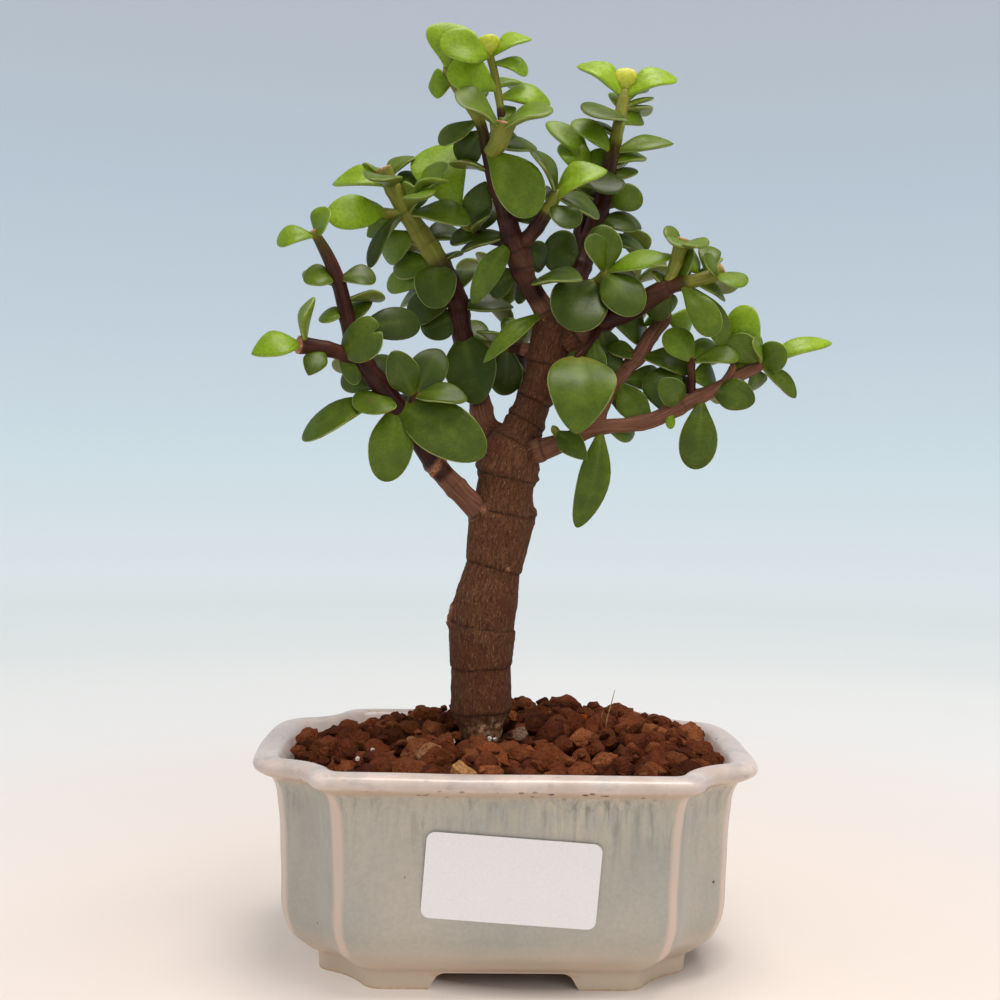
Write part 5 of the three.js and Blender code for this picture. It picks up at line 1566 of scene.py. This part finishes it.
def make_stage():
    """A pale floor that curves up into a pale wall all round. It gives off painted light of its own,
    except under the pot, where the pot's shade stays.
    """
    begin()
    bpy.ops.mesh.primitive_circle_add(vertices=96, radius=FLOOR_REACH, fill_type="NOTHING")
    floor = named("studio_floor")
    edit(floor)
    pick_all()
    bends = np.linspace(0, math.pi / 2, COVE_STEPS + 1)
    steps = [(FLOOR_REACH + COVE * math.sin(b), COVE * (1 - math.cos(b))) for b in bends]
    steps.append((FLOOR_REACH + COVE, WALL_TOP))
    for (reach, z), (next_reach, next_z) in zip(steps, steps[1:]):
        bpy.ops.mesh.extrude_region_move(TRANSFORM_OT_translate={"value": (0, 0, next_z - z)})
        grow = next_reach / reach
        bpy.ops.transform.resize(value=(grow, grow, 1), center_override=(0, 0, next_z))
    pick(floor, "edges", lambda edge: max(v.co.z for v in edge.verts) < 1e-5)
    bpy.ops.mesh.edge_face_add()
    bpy.ops.mesh.poke()  # rays find slices round a middle sooner than one face with 96 sides
    pick_all()
    bpy.ops.mesh.normals_make_consistent(inside=True)
    done()
    n = Nodes("pale_paper")
    far = n.add("VectorMath", {"operation": "LENGTH"}, Vector=n.place).outputs["Value"]
    far = n.math("DIVIDE", far, STAGE_SPAN)
    seen = n.ramp(far, *PAPER_AS_LIT)
    paper = n.over(BLACK, seen, far, *PAPER_SHARE)
    glow = n.over(BLACK, seen, far, *GLOW_SHARE)
    below = n.add("VectorMath", {"operation": "LENGTH"}, Vector=n.stretched(n.place, *UNDER_POT))
    # No painted glow under the pot's foot, so that its shade there stays dark.
    glow = n.over(BLACK, glow, below.outputs["Value"], (0.78, 0.0), (1.06, 1.0))
    paper = n.finish(Base_Color=paper, Roughness=0.9, Emission_Color=glow, Emission_Strength=1.0)
    paper.cycles.emission_sampling = "NONE"  # it surrounds the tree, so rays find its glow by themselves
    floor.data.materials.append(paper)
    bpy.ops.object.shade_smooth()


# Each light's place, size, power and colour, and whether glossy skins mirror it
LIGHTS = {
    "overhead": ((0.1, -0.1, 0.95), 0.55, 8.0, (1, 0.94, 0.9), True),
    "front": ((0.4, -0.75, 0.6), 0.7, 2.7, (1, 0.94, 0.9), False),
    "side": ((-0.8, -0.3, 0.4), 0.6, 0.9, (1, 0.96, 0.93), False),
}
SKY_COLOUR = (0.95, 0.97, 1, 1)
SKY_POWER = 0.25


def make_light():
    for name, (place, size, power, colour, glossy) in LIGHTS.items():
        begin()
        turn = (Vector(LIT) - Vector(place)).to_track_quat("-Z", "Y").to_euler()
        bpy.ops.object.light_add(type="AREA", location=place, rotation=turn)
        light = bpy.context.object
        light.name = name
        light.data.shape = "DISK"
        light.data.size = size
        light.data.energy = power
        light.data.color = colour
        light.visible_camera = False
        light.visible_glossy = glossy
    world = bpy.data.worlds.new("soft_sky")
    world.use_nodes = True
    sky = world.node_tree.nodes["Background"]
    sky.inputs["Color"].default_value = SKY_COLOUR
    sky.inputs["Strength"].default_value = SKY_POWER
    bpy.context.scene.world = world
    bpy.context.scene.view_settings.view_transform = "Standard"


make_camera()
make_stage()
make_light()
make_pot()
make_label()
dress_netting()
make_granules()
make_limbs()
begin()
